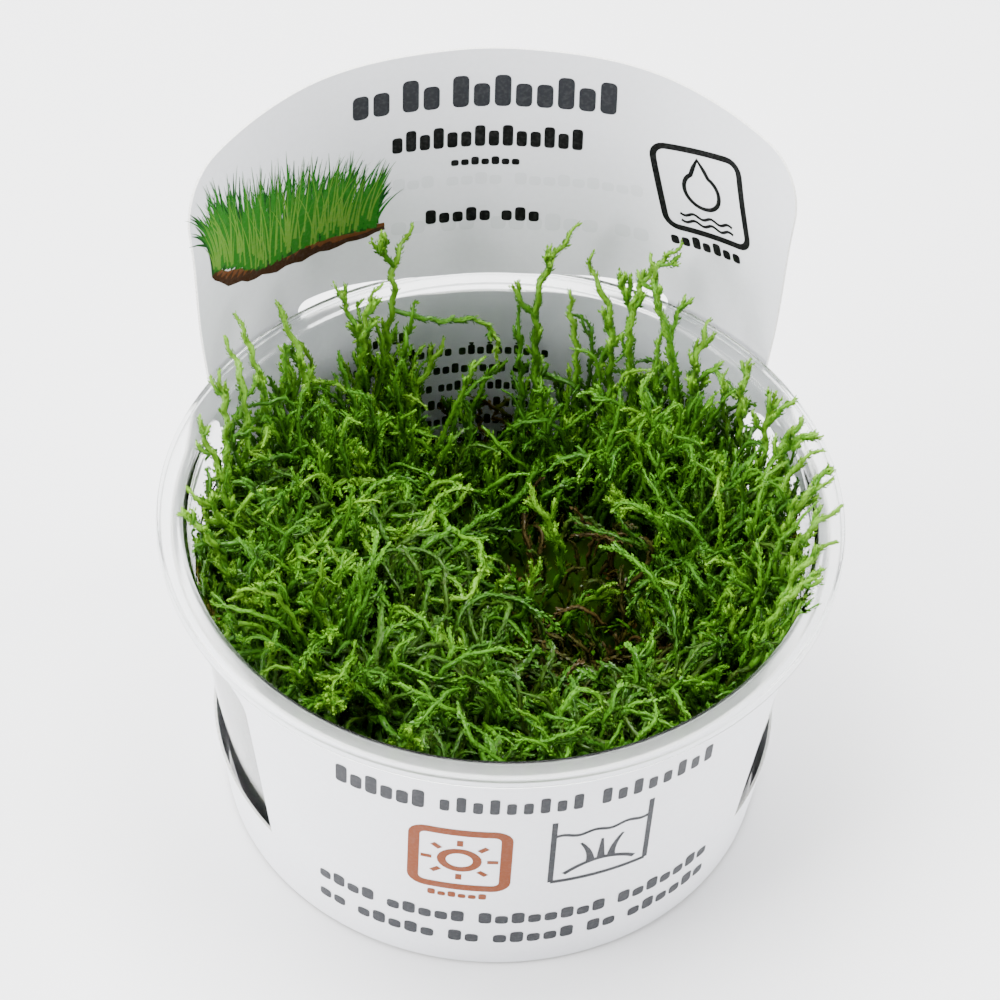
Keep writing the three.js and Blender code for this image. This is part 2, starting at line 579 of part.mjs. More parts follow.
// A small side shoot, which leaves its stem sideways and curls up, on one side and then the other.
function twigPoints(points, share, number) {
  const curve = curveThrough(points);
  const start = curve.getPoint(share);
  const along = curve.getTangent(share);
  const out = new THREE.Vector3(-along.y, along.x, 0).normalize();
  if (number % 2 === 1) out.negate();
  const bend = start.clone().addScaledVector(out, TWIG_BEND_OUT).addScaledVector(along, TWIG_BEND_UP);
  const tip = start.clone().addScaledVector(out, TWIG_TIP_OUT).addScaledVector(along, TWIG_TIP_UP);
  return [start, bend, tip].map((p) => p.toArray());
}

// One shoot with its forks and twigs, cut to stand on the mat.
function makeShoot(shoot, raisedMat, number) {
  const [x, y] = shoot.foot;
  const points = [[x, y, SHOOT_FOOT_Z], ...shoot.route];
  let solid = makeStem(points, shootRadius, SHOOT_SIDES, STEPS_PER_SPAN);
  const sideRadius = (share) => SIDE_SHOOT_SHARE * shootRadius(LEAFY_FROM + (1 - LEAFY_FROM) * share);
  for (const fork of shoot.forks ?? []) {
    solid = solid.add(makeStem(fork, sideRadius, SHOOT_SIDES, STEPS_PER_SPAN));
  }
  (shoot.twigs ?? []).forEach((share, k) => {
    const twig = twigPoints(points, share, number + k);
    solid = solid.add(makeStem(twig, sideRadius, TWIG_SIDES, TWIG_STEPS_PER_SPAN));
  });
  const pieces = solid.subtract(raisedMat).decompose();
  pieces.sort((a, b) => b.volume() - a.volume());
  return geometryOf(pieces[0]);
}

// A named mesh of a geometry in its own material.
function namedMesh(name, geometry, look) {
  const mesh = new THREE.Mesh(geometry, new THREE.MeshStandardMaterial(look));
  mesh.name = name;
  return mesh;
}

const object = new THREE.Group();
const mat = makeMat();
object.add(namedMesh('cup', makeCup(), CLEAR_PLASTIC));
object.add(namedMesh('sleeve', makeSleeve(), WHITE_CARD));
object.add(namedMesh('moss_mat', geometryOf(mat), DARK_MOSS));

const moss = new THREE.Group();
const raisedMat = mat.translate([0, 0, TOUCH_GAP]);
SHOOTS.forEach((shoot, k) => {
  const name = `moss_shoot_${String(k + 1).padStart(2, '0')}`;
  moss.add(namedMesh(name, makeShoot(shoot, raisedMat, k), BRIGHT_MOSS));
});
object.add(moss);

export default object;
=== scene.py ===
"""Visual model of flame moss from tissue culture, in a clear cup with a printed card sleeve.

Sizes are in millimetres and angles in degrees, and each mesh is written in metres at the end. The
origin is the middle of the cup's underside. The front of the sleeve faces -Y and its tab stands at
+Y. An angle around the cup is counted from the back, +Y, and grows towards +X.
"""

import logging
import math
from dataclasses import dataclass, field, replace
from enum import Enum
from typing import Any, Mapping, Optional, Sequence, Union

import bpy
import numpy as np
from mathutils import Matrix, Vector
from mathutils.geometry import delaunay_2d_cdt


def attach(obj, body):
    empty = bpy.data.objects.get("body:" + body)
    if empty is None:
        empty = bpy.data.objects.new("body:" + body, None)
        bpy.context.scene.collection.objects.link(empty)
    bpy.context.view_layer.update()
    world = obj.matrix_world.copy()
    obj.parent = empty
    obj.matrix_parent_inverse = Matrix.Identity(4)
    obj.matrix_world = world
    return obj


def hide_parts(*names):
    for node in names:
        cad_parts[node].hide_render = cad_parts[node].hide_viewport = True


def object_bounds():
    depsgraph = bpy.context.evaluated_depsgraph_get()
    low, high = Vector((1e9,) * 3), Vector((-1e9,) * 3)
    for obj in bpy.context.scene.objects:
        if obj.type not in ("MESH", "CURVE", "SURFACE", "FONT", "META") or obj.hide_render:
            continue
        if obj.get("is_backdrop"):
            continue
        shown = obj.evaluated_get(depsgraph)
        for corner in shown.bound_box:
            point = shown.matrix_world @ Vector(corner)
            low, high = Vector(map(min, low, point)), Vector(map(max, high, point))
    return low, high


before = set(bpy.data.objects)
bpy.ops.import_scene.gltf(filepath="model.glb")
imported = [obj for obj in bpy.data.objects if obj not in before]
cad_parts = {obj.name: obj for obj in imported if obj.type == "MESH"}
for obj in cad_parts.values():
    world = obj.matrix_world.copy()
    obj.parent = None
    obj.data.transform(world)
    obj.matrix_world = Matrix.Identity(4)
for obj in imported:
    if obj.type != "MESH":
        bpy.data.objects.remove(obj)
CAD_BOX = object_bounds()

LOG = logging.getLogger("flame_moss")
MM = 0.001
ROOT = "root"
TINT = "tint"
IMAGE_SIDE = 1000
SENSOR_WIDTH = 36.0
GOLDEN_TURN = math.radians(137.5)
FULL_TURN = 2 * math.pi
TINY = 1e-6

Point = tuple[float, float, float]
Spot = tuple[float, float]
Span = tuple[float, float]
ScreenColour = tuple[int, int, int]


def ramp(low: float, high: float, value: Any) -> Any:
    """Step smoothly from 0 to 1 between two limits.

    Args:
        low: Where the step starts.
        high: Where the step ends.
        value: A number or an array.

    Returns:
        The step at the value, of the same shape.
    """
    share = np.clip((np.asarray(value, float) - low) / (high - low), 0.0, 1.0)
    return share * share * (3.0 - 2.0 * share)


def linear(colour: Sequence[float]) -> np.ndarray:
    """Turn a screen colour from 0 to 255 into linear light.

    Args:
        colour: Red, green and blue.

    Returns:
        Three linear values from 0 to 1.
    """
    share = np.asarray(colour, float) / 255.0
    return np.where(share <= 0.04045, share / 12.92, ((share + 0.055) / 1.055) ** 2.4)


def unit(vectors: np.ndarray) -> np.ndarray:
    """Scale vectors along the last axis to length 1."""
    return vectors / np.maximum(np.linalg.norm(vectors, axis=-1, keepdims=True), 1e-9)


def around(angle: Any, radius: Any, z: Any) -> np.ndarray:
    """Place points by angle from the back, radius and height.

    Args:
        angle: Degrees from +Y, towards +X.
        radius: Distance from the cup's axis.
        z: Height.

    Returns:
        Points of shape (..., 3).
    """
    turn = np.radians(angle)
    return np.stack(np.broadcast_arrays(radius * np.sin(turn), radius * np.cos(turn), z), -1)


class Signal:
    """One output socket of a node tree, with operators that add the nodes for them."""

    def __init__(self, graph: "Graph", socket: bpy.types.NodeSocket) -> None:
        """Wrap a socket of a graph."""
        self.graph = graph
        self.socket = socket

    def _join(self, operation: str, first: Any, second: Any) -> "Signal":
        """Add a Math node, a Vector Math node for vectors, or a Mix node for colours.

        Args:
            operation: The node's operation, such as "ADD".
            first: A signal, a number, or three of them for a vector or a colour.
            second: The same.

        Returns:
            The node's result.
        """
        parts = (first, second)
        kinds = {part.socket.type for part in parts if isinstance(part, Signal)}
        if kinds & {"RGBA", "VECTOR"}:
            first, second = (part if isinstance(part, (Signal, tuple)) else (part,) * 3 for part in parts)
        if "RGBA" in kinds:
            settings = {"data_type": "RGBA", "blend_type": operation}
            return self.graph.add("ShaderNodeMix", settings, {0: 1.0, 6: first, 7: second}, output=2)
        kind = "ShaderNodeVectorMath" if "VECTOR" in kinds else "ShaderNodeMath"
        return self.graph.add(kind, {"operation": operation}, {0: first, 1: second})

    def __add__(self, other: Any) -> "Signal":
        """Add."""
        return self._join("ADD", self, other)

    def __radd__(self, other: Any) -> "Signal":
        """Add from the left."""
        return self._join("ADD", other, self)

    def __sub__(self, other: Any) -> "Signal":
        """Subtract."""
        return self._join("SUBTRACT", self, other)

    def __rsub__(self, other: Any) -> "Signal":
        """Subtract from something."""
        return self._join("SUBTRACT", other, self)

    def __mul__(self, other: Any) -> "Signal":
        """Multiply."""
        return self._join("MULTIPLY", self, other)

    def __rmul__(self, other: Any) -> "Signal":
        """Multiply from the left."""
        return self._join("MULTIPLY", other, self)

    def between(self, low: float, high: float) -> "Signal":
        """Step smoothly from 0 to 1 while this goes from low to high."""
        settings = {"interpolation_type": "SMOOTHSTEP"}
        return self.graph.add("ShaderNodeMapRange", settings, {0: self, 1: low, 2: high})

    def mix(self, none: Any, full: Any) -> "Signal":
        """Mix two colours, from the first at 0 to the second at 1."""
        return self.graph.add("ShaderNodeMix", {"data_type": "RGBA"}, {0: self, 6: none, 7: full}, output=2)


class Graph:
    """The node tree of one material."""

    def __init__(self, name: str) -> None:
        """Start a material with nothing but an output node.

        Args:
            name: The material's name.
        """
        self.material = bpy.data.materials.new(name)
        self.material.use_nodes = True
        self.tree = self.material.node_tree
        self.tree.nodes.clear()
        self.end = self.tree.nodes.new("ShaderNodeOutputMaterial")

    def add(
        self,
        kind: str,
        settings: Optional[Mapping[str, Any]] = None,
        inputs: Optional[Mapping[Union[int, str], Any]] = None,
        output: Union[int, str] = 0,
    ) -> Signal:
        """Add a node, set it up and join its sockets.

        Args:
            kind: The node's type.
            settings: Its own settings, which come first.
            inputs: Values or signals by the name or place of a socket.
            output: The socket to hand back.

        Returns:
            The chosen output of the node.
        """
        node = self.tree.nodes.new(kind)
        for name, value in (settings or {}).items():
            setattr(node, name, value)
        for key, value in (inputs or {}).items():
            socket = node.inputs[key]
            if isinstance(value, Signal):
                self.tree.links.new(value.socket, socket)
            elif socket.type == "RGBA" and len(value) == 3:
                socket.default_value = (*value, 1.0)
            else:
                socket.default_value = value
        return Signal(self, node.outputs[output])

    def place(self) -> Signal:
        """Give the place on the piece, in metres."""
        return self.add("ShaderNodeTexCoord", output="Object")

    def noise(self, size: float, detail: float = 2.0, stretch: Point = (1.0, 1.0, 1.0)) -> Signal:
        """Give a soft noise from 0 to 1.

        Args:
            size: How wide its lumps are, in millimetres.
            detail: How many finer layers it has.
            stretch: How much wider the lumps are along each axis.

        Returns:
            The noise.
        """
        spot = self.place() * tuple(1.0 / (size * MM * part) for part in stretch)
        return self.add("ShaderNodeTexNoise", {}, {"Vector": spot, "Scale": 1.0, "Detail": detail})

    def bump(self, height: Signal, depth: float, strength: float = 1.0) -> Signal:
        """Give the normal of a surface raised by a signal, with the depth in millimetres."""
        inputs = {"Height": height, "Distance": depth * MM, "Strength": strength}
        return self.add("ShaderNodeBump", {}, inputs)

    def surface(self, inputs: Mapping[str, Any]) -> bpy.types.Material:
        """Finish the material with a Principled shader.

        Args:
            inputs: Values or signals of the shader's sockets by name.

        Returns:
            The material.
        """
        shader = self.add("ShaderNodeBsdfPrincipled", {}, inputs)
        self.tree.links.new(shader.socket, self.end.inputs["Surface"])
        return self.material


@dataclass(frozen=True)
class ClearPlastic:
    """Thin moulded plastic, clear, with a faint grey-green body colour."""

    name: str = "clear_plastic"
    colour: Point = (0.985, 0.995, 0.992)
    ior: float = 1.49
    roughness: float = 0.03
    haze_size: float = 1.2
    haze_roughness: float = 0.02
    flow_size: float = 9.0
    flow_stretch: Point = (1.0, 1.0, 2.5)
    flow_depth: float = 0.04
    flow_strength: float = 0.15
    rim_roughness: float = 0.2
    rim_z: Span = (54.4, 55.6)
    body: Point = (0.80, 0.90, 0.87)
    body_density: float = 45.0

    def material(self) -> bpy.types.Material:
        """Make the material.

        Returns:
            The material.
        """
        graph = Graph(self.name)
        flow = graph.noise(self.flow_size, 1.0, self.flow_stretch)
        haze = graph.noise(self.haze_size).between(0.45, 0.75)
        height = graph.add("ShaderNodeSeparateXYZ", {}, {0: graph.place()}, output="Z")
        frosted = height.between(self.rim_z[0] * MM, self.rim_z[1] * MM)
        material = graph.surface({
            "Base Color": self.colour,
            "Roughness": self.roughness + self.haze_roughness * haze + self.rim_roughness * frosted,
            "IOR": self.ior,
            "Transmission Weight": 1.0,
            "Normal": graph.bump(flow, self.flow_depth, self.flow_strength),
        })
        inside = {"Color": self.body, "Density": self.body_density}
        volume = graph.add("ShaderNodeVolumeAbsorption", {}, inside)
        graph.tree.links.new(volume.socket, graph.end.inputs["Volume"])
        return material


@dataclass(frozen=True)
class CoatedCard:
    """Smooth white card with a faint fibre mottle under a satin coat."""

    name: str = "coated_card"
    colour: ScreenColour = (238, 239, 244)
    darkest: float = 0.955
    mottle_size: float = 0.9
    cloud_size: float = 14.0
    roughness: float = 0.42
    shine: float = 0.4
    grain_depth: float = 0.012
    grain_strength: float = 0.6

    def material(self) -> bpy.types.Material:
        """Make the material.

        Returns:
            The material.
        """
        graph = Graph(self.name)
        white = linear(self.colour)
        mottle = graph.noise(self.mottle_size, 4.0)
        tone = (0.6 * mottle + 0.4 * graph.noise(self.cloud_size)).between(0.3, 0.7)
        return graph.surface({
            "Base Color": tone.mix(white * self.darkest, white),
            "Roughness": self.roughness + 0.1 * mottle,
            "Specular IOR Level": self.shine,
            "Normal": graph.bump(mottle, self.grain_depth, self.grain_strength),
        })


@dataclass(frozen=True)
class CutCard:
    """The raw edge of the card, with its fibres in layers."""

    name: str = "card_edge"
    light: ScreenColour = (246, 246, 244)
    dark: ScreenColour = (222, 221, 216)
    fibre_size: float = 0.25
    fibre_depth: float = 0.05

    def material(self) -> bpy.types.Material:
        """Make the material.

        Returns:
            The material.
        """
        graph = Graph(self.name)
        fibres = graph.noise(self.fibre_size, 3.0)
        return graph.surface({
            "Base Color": fibres.between(0.35, 0.65).mix(linear(self.dark), linear(self.light)),
            "Roughness": 0.8 + 0.15 * fibres,
            "Normal": graph.bump(fibres, self.fibre_depth),
        })


@dataclass(frozen=True)
class Ink:
    """A printed ink, with the slight mottle of ink on card. The film is how far it lies off the card."""

    name: str
    colour: ScreenColour
    roughness: float = 0.38
    mottle: float = 0.03
    film: float = 0.045
    mottle_size: float = 0.5
    shine: float = 0.12

    def material(self) -> bpy.types.Material:
        """Make the material.

        Returns:
            The material.
        """
        graph = Graph(self.name)
        cover = graph.noise(self.mottle_size, 3.0)
        thinned = 1.0 - cover.between(0.25, 0.6)
        full = linear(self.colour)
        thin = full * (1.0 - self.mottle) + self.mottle * 0.5
        return graph.surface({
            "Base Color": thinned.mix(full, thin),
            "Roughness": self.roughness + 0.12 * cover,
            "Specular IOR Level": self.shine,
        })


@dataclass(frozen=True)
class MossFinish:
    """Wet moss, whose colour is laid on its mesh and broken up by a fine mottle."""

    name: str
    roughness: float
    coat: float
    shine: float
    fine_size: float = 0.7
    broad_size: float = 7.0
    wet_size: float = 2.2
    deep: Point = (0.72, 0.76, 0.6)
    lit: Point = (1.16, 1.12, 1.1)
    coat_roughness: float = 0.12
    grain_depth: float = 0.12
    grain_strength: float = 0.6

    def material(self) -> bpy.types.Material:
        """Make the material.

        Returns:
            The material.
        """
        graph = Graph(self.name)
        laid = graph.add("ShaderNodeVertexColor", {"layer_name": TINT})
        fine = graph.noise(self.fine_size, 3.0)
        patches = (0.5 * fine + 0.5 * graph.noise(self.broad_size)).between(0.3, 0.7)
        return graph.surface({
            "Base Color": laid * patches.mix(self.deep, self.lit),
            "Roughness": self.roughness + 0.2 * fine,
            "Coat Weight": self.coat * graph.noise(self.wet_size, 1.0).between(0.42, 0.62),
            "Coat Roughness": self.coat_roughness,
            "Specular IOR Level": self.shine,
            "Normal": graph.bump(fine, self.grain_depth, self.grain_strength),
        })


@dataclass(frozen=True)
class TableTop:
    """A plain pale matt surface under the object."""

    name: str = "pale_floor"
    colour: ScreenColour = (244, 244, 245)
    darkest: float = 0.985
    cloud_size: float = 60.0
    roughness: float = 0.75
    shine: float = 0.2

    def material(self) -> bpy.types.Material:
        """Make the material.

        Returns:
            The material.
        """
        graph = Graph(self.name)
        cloud = graph.noise(self.cloud_size, 3.0)
        white = linear(self.colour)
        return graph.surface({
            "Base Color": cloud.mix(white * self.darkest, white),
            "Roughness": self.roughness + 0.1 * cloud,
            "Specular IOR Level": self.shine,
        })


class Surface:
    """Triangles gathered for one mesh, with a slot, a shading and a colour for each batch."""

    def __init__(self) -> None:
        """Start with nothing gathered."""
        self.corners: list[np.ndarray] = []
        self.triangles: list[np.ndarray] = []
        self.slots: list[np.ndarray] = []
        self.smooth: list[np.ndarray] = []
        self.colours: list[np.ndarray] = []
        self.count = 0

    def add(
        self,
        corners: np.ndarray,
        triangles: np.ndarray,
        slot: int = 0,
        smooth: bool = True,
        colours: Optional[np.ndarray] = None,
    ) -> None:
        """Add one batch of triangles.

        Args:
            corners: Points of shape (n, 3), in millimetres.
            triangles: Corner numbers of shape (m, 3).
            slot: The number of the finish.
            smooth: Whether the faces are shaded as one smooth skin.
            colours: Linear colours of shape (n, 3), where the finish reads them.
        """
        self.corners.append(corners)
        self.triangles.append(triangles + self.count)
        self.slots.append(np.full(len(triangles), slot, np.int32))
        self.smooth.append(np.full(len(triangles), smooth, bool))
        if colours is not None:
            self.colours.append(colours)
        self.count += len(corners)

    def build(
        self,
        name: str,
        finishes: Sequence[bpy.types.Material],
        slot: str,
        replaces: Sequence[str] = (),
        sharp: Optional[float] = None,
    ) -> bpy.types.Object:
        """Make the mesh and its object, and tie it to the frame.

        Args:
            name: The object's name.
            finishes: Its materials in the order of the slots.
            slot: Not used.
            replaces: The frame's nodes that it stands for.
            sharp: The angle in degrees above which an edge is shaded sharp.

        Returns:
            The object.
        """
        corners = np.concatenate(self.corners) * MM
        triangles = np.concatenate(self.triangles).astype(np.int32)
        mesh = bpy.data.meshes.new(name)
        mesh.vertices.add(len(corners))
        mesh.vertices.foreach_set("co", corners.astype(np.float32).ravel())
        mesh.loops.add(triangles.size)
        mesh.loops.foreach_set("vertex_index", triangles.ravel())
        mesh.polygons.add(len(triangles))
        mesh.polygons.foreach_set("loop_start", np.arange(0, triangles.size, 3, dtype=np.int32))
        mesh.polygons.foreach_set("material_index", np.concatenate(self.slots))
        mesh.polygons.foreach_set("use_smooth", np.concatenate(self.smooth))
        mesh.update(calc_edges=True)
        if self.colours:
            tint = mesh.color_attributes.new(TINT, "FLOAT_COLOR", "POINT")
            laid = np.ones((len(corners), 4), np.float32)
            laid[:, :3] = np.concatenate(self.colours)
            tint.data.foreach_set("color", laid.ravel())
        mesh.validate()
        if sharp is not None:
            mesh.set_sharp_from_angle(angle=math.radians(sharp))
        piece = bpy.data.objects.new(name, mesh)
        bpy.context.scene.collection.objects.link(piece)
        for finish in finishes:
            mesh.materials.append(finish)
        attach(piece, ROOT)
        if replaces:
            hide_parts(*replaces)
        LOG.info("%s: %d triangles", name, len(triangles))
        return piece


def grid_triangles(rows: int, columns: int, wrap: bool) -> np.ndarray:
    """Number the triangles of a grid of points.

    Args:
        rows: How many rows of points there are.
        columns: How many points a row has.
        wrap: Whether the last column meets the first.

    Returns:
        Corner numbers of shape (n, 3).
    """
    row, column = np.meshgrid(np.arange(rows - 1), np.arange(columns if wrap else columns - 1), indexing="ij")
    here = (row * columns + column).ravel()
    beside = (row * columns + (column + 1) % columns).ravel()
    first = np.stack([here, beside, here + columns], 1)
    second = np.stack([beside, beside + columns, here + columns], 1)
    return np.concatenate([first, second])


def capped_rings(rings: np.ndarray, first: Point, last: Point) -> tuple[np.ndarray, np.ndarray]:
    """Join rings of points to one closed skin.

    Args:
        rings: Points of shape (rings, sides, 3).
        first: The point that closes the first ring.
        last: The point that closes the last ring.

    Returns:
        Corners of shape (n, 3), and corner numbers of shape (m, 3).
    """
    count, sides, _ = rings.shape
    step = np.arange(sides)
    beside = (step + 1) % sides
    end = (count - 1) * sides
    start_cap = np.stack([beside, step, np.full(sides, count * sides)], 1)
    end_cap = np.stack([end + step, end + beside, np.full(sides, count * sides + 1)], 1)
    skin = np.concatenate([grid_triangles(count, sides, True), start_cap, end_cap])
    return np.vstack([rings.reshape(-1, 3), first, last]), skin[:, ::-1]


def rounded(corners: Sequence[Point], steps: int = 5) -> np.ndarray:
    """Round the corners of an open outline.

    Args:
        corners: Radius, height and rounding of each corner.
        steps: How many steps a rounding has.

    Returns:
        The outline's points of shape (n, 2).
    """
    spots = np.array([corner[:2] for corner in corners], float)
    outline = [spots[0]]
    for k in range(1, len(spots) - 1):
        before, after = spots[k - 1] - spots[k], spots[k + 1] - spots[k]
        reach = min(corners[k][2], 0.45 * np.linalg.norm(before), 0.45 * np.linalg.norm(after))
        start, end = spots[k] + unit(before) * reach, spots[k] + unit(after) * reach
        for share in np.linspace(0.0, 1.0, steps + 1):
            outline.append(start * (1 - share) ** 2 + spots[k] * 2 * share * (1 - share) + end * share**2)
    outline.append(spots[-1])
    return np.array(outline)


@dataclass
class ClearCup:
    """The thin clear cup, with its flat base, its flange and the skirt that turns down from it."""

    height: float = 56.2
    rim_radius: float = 50.5
    flange_inner_radius: float = 47.0
    flange_thickness: float = 0.8
    skirt_depth: float = 1.8
    skirt_thickness: float = 0.6
    wall_bottom_radius: float = 40.5
    wall_top_radius: float = 46.6
    wall_bottom_z: float = 2.0
    wall_top_z: float = 53.4
    wall_thickness: float = 0.7
    base_thickness: float = 0.9
    foot_width: float = 2.0
    inner_foot_width: float = 1.4
    inner_foot_rise: float = 0.2
    throat_width: float = 0.6
    throat_depth: float = 0.7
    throat_slope: float = 0.45
    shoulder_rise: float = 0.4
    shoulder_width: float = 1.2
    shoulder_height: float = 0.8
    ledge_z: float = 45.0
    ledge_half_height: float = 0.2
    ledge_step: float = 0.14
    ledge_dip: float = 0.02
    outer_limit: float = 0.3
    segments: int = 160

    def inner_radius(self, z: Any) -> Any:
        """Give the radius of the free space inside the cup.

        Args:
            z: Height, a number or an array.

        Returns:
            The radius, which opens out at the throat and has no limit above the rim.
        """
        z = np.asarray(z, float)
        slope = (self.wall_top_radius - self.wall_bottom_radius) / (self.wall_top_z - self.wall_bottom_z)
        wall = self.wall_bottom_radius - self.wall_thickness + slope * (z - self.wall_bottom_z)
        throat = np.maximum(z - self.wall_top_z, 0.0) * self.throat_slope
        return np.where(z > self.height, self.rim_radius, wall + throat)

    def keep_inside(self, points: np.ndarray, gap: float = 0.12) -> np.ndarray:
        """Press points that are in the wall or the rim back into the free space.

        Args:
            points: Points of shape (..., 3).
            gap: The distance that they keep.

        Returns:
            The points, moved inwards below the rim and upwards on it.
        """
        x, y, z = points[..., 0], points[..., 1], points[..., 2]
        radius = np.hypot(x, y)
        on_shoulder = radius > self.flange_inner_radius - self.shoulder_width
        over_flange = on_shoulder & (z > self.wall_top_z + self.shoulder_height)
        lifted = np.where(over_flange, np.maximum(z, self.height + gap), z)
        limit = np.where(over_flange, self.rim_radius - self.outer_limit, self.inner_radius(z) - gap)
        share = np.minimum(1.0, limit / np.maximum(radius, TINY))
        return np.stack([x * share, y * share, np.maximum(lifted, self.base_thickness + gap)], -1)

    def section(self) -> np.ndarray:
        """Draw the closed cross-section from the axis, round the outside and back to the axis.

        Returns:
            Radii and heights of shape (n, 2).
        """
        flange_under = self.height - self.flange_thickness
        skirt_bottom = self.height - self.skirt_depth
        skirt_inner = self.rim_radius - self.skirt_thickness
        inner_top = self.wall_top_radius - self.wall_thickness
        inner_bottom = self.wall_bottom_radius - self.wall_thickness
        ledge = float(self.inner_radius(self.ledge_z))
        return rounded([
            (0.0, 0.0, 0.0),
            (self.wall_bottom_radius - self.foot_width, 0.0, 1.2),
            (self.wall_bottom_radius, self.wall_bottom_z, 1.4),
            (self.wall_top_radius, self.wall_top_z, 0.8),
            (self.flange_inner_radius, flange_under, 0.5),
            (skirt_inner, flange_under, 0.25),
            (skirt_inner, skirt_bottom, 0.15),
            (self.rim_radius, skirt_bottom, 0.2),
            (self.rim_radius, self.height, 0.5),
            (self.flange_inner_radius, self.height, 0.45),
            (inner_top + self.throat_width, self.height - self.throat_depth, 0.5),
            (inner_top, self.wall_top_z + self.shoulder_rise, 0.8),
            (ledge + self.ledge_step, self.ledge_z + self.ledge_half_height, 0.2),
            (ledge - self.ledge_dip, self.ledge_z - self.ledge_half_height, 0.2),
            (inner_bottom, self.wall_bottom_z + self.inner_foot_rise, 1.2),
            (inner_bottom - self.inner_foot_width, self.base_thickness, 0.9),
            (0.0, self.base_thickness, 0.0),
        ])

    def build(self, plastic: ClearPlastic) -> bpy.types.Object:
        """Turn the section around the axis.

        Args:
            plastic: The finish of the cup.

        Returns:
            The cup.
        """
        section = self.section()[1:-1]
        turns = np.arange(self.segments) * 360.0 / self.segments
        rings = around(turns[None, :], section[:, :1], section[:, 1:2])
        cup = Surface()
        cup.add(*capped_rings(rings, (0.0, 0.0, 0.0), (0.0, 0.0, self.base_thickness)))
        return cup.build("clear_cup", [plastic.material()], "clear_plastic", ["cup"], sharp=35)


class CardSide(Enum):
    """A printed side of the card: middle angle, reading direction, and whether it faces outwards."""

    FRONT = (180.0, -1.0, True)
    TAB = (0.0, 1.0, False)
    BACK = (0.0, -1.0, True)


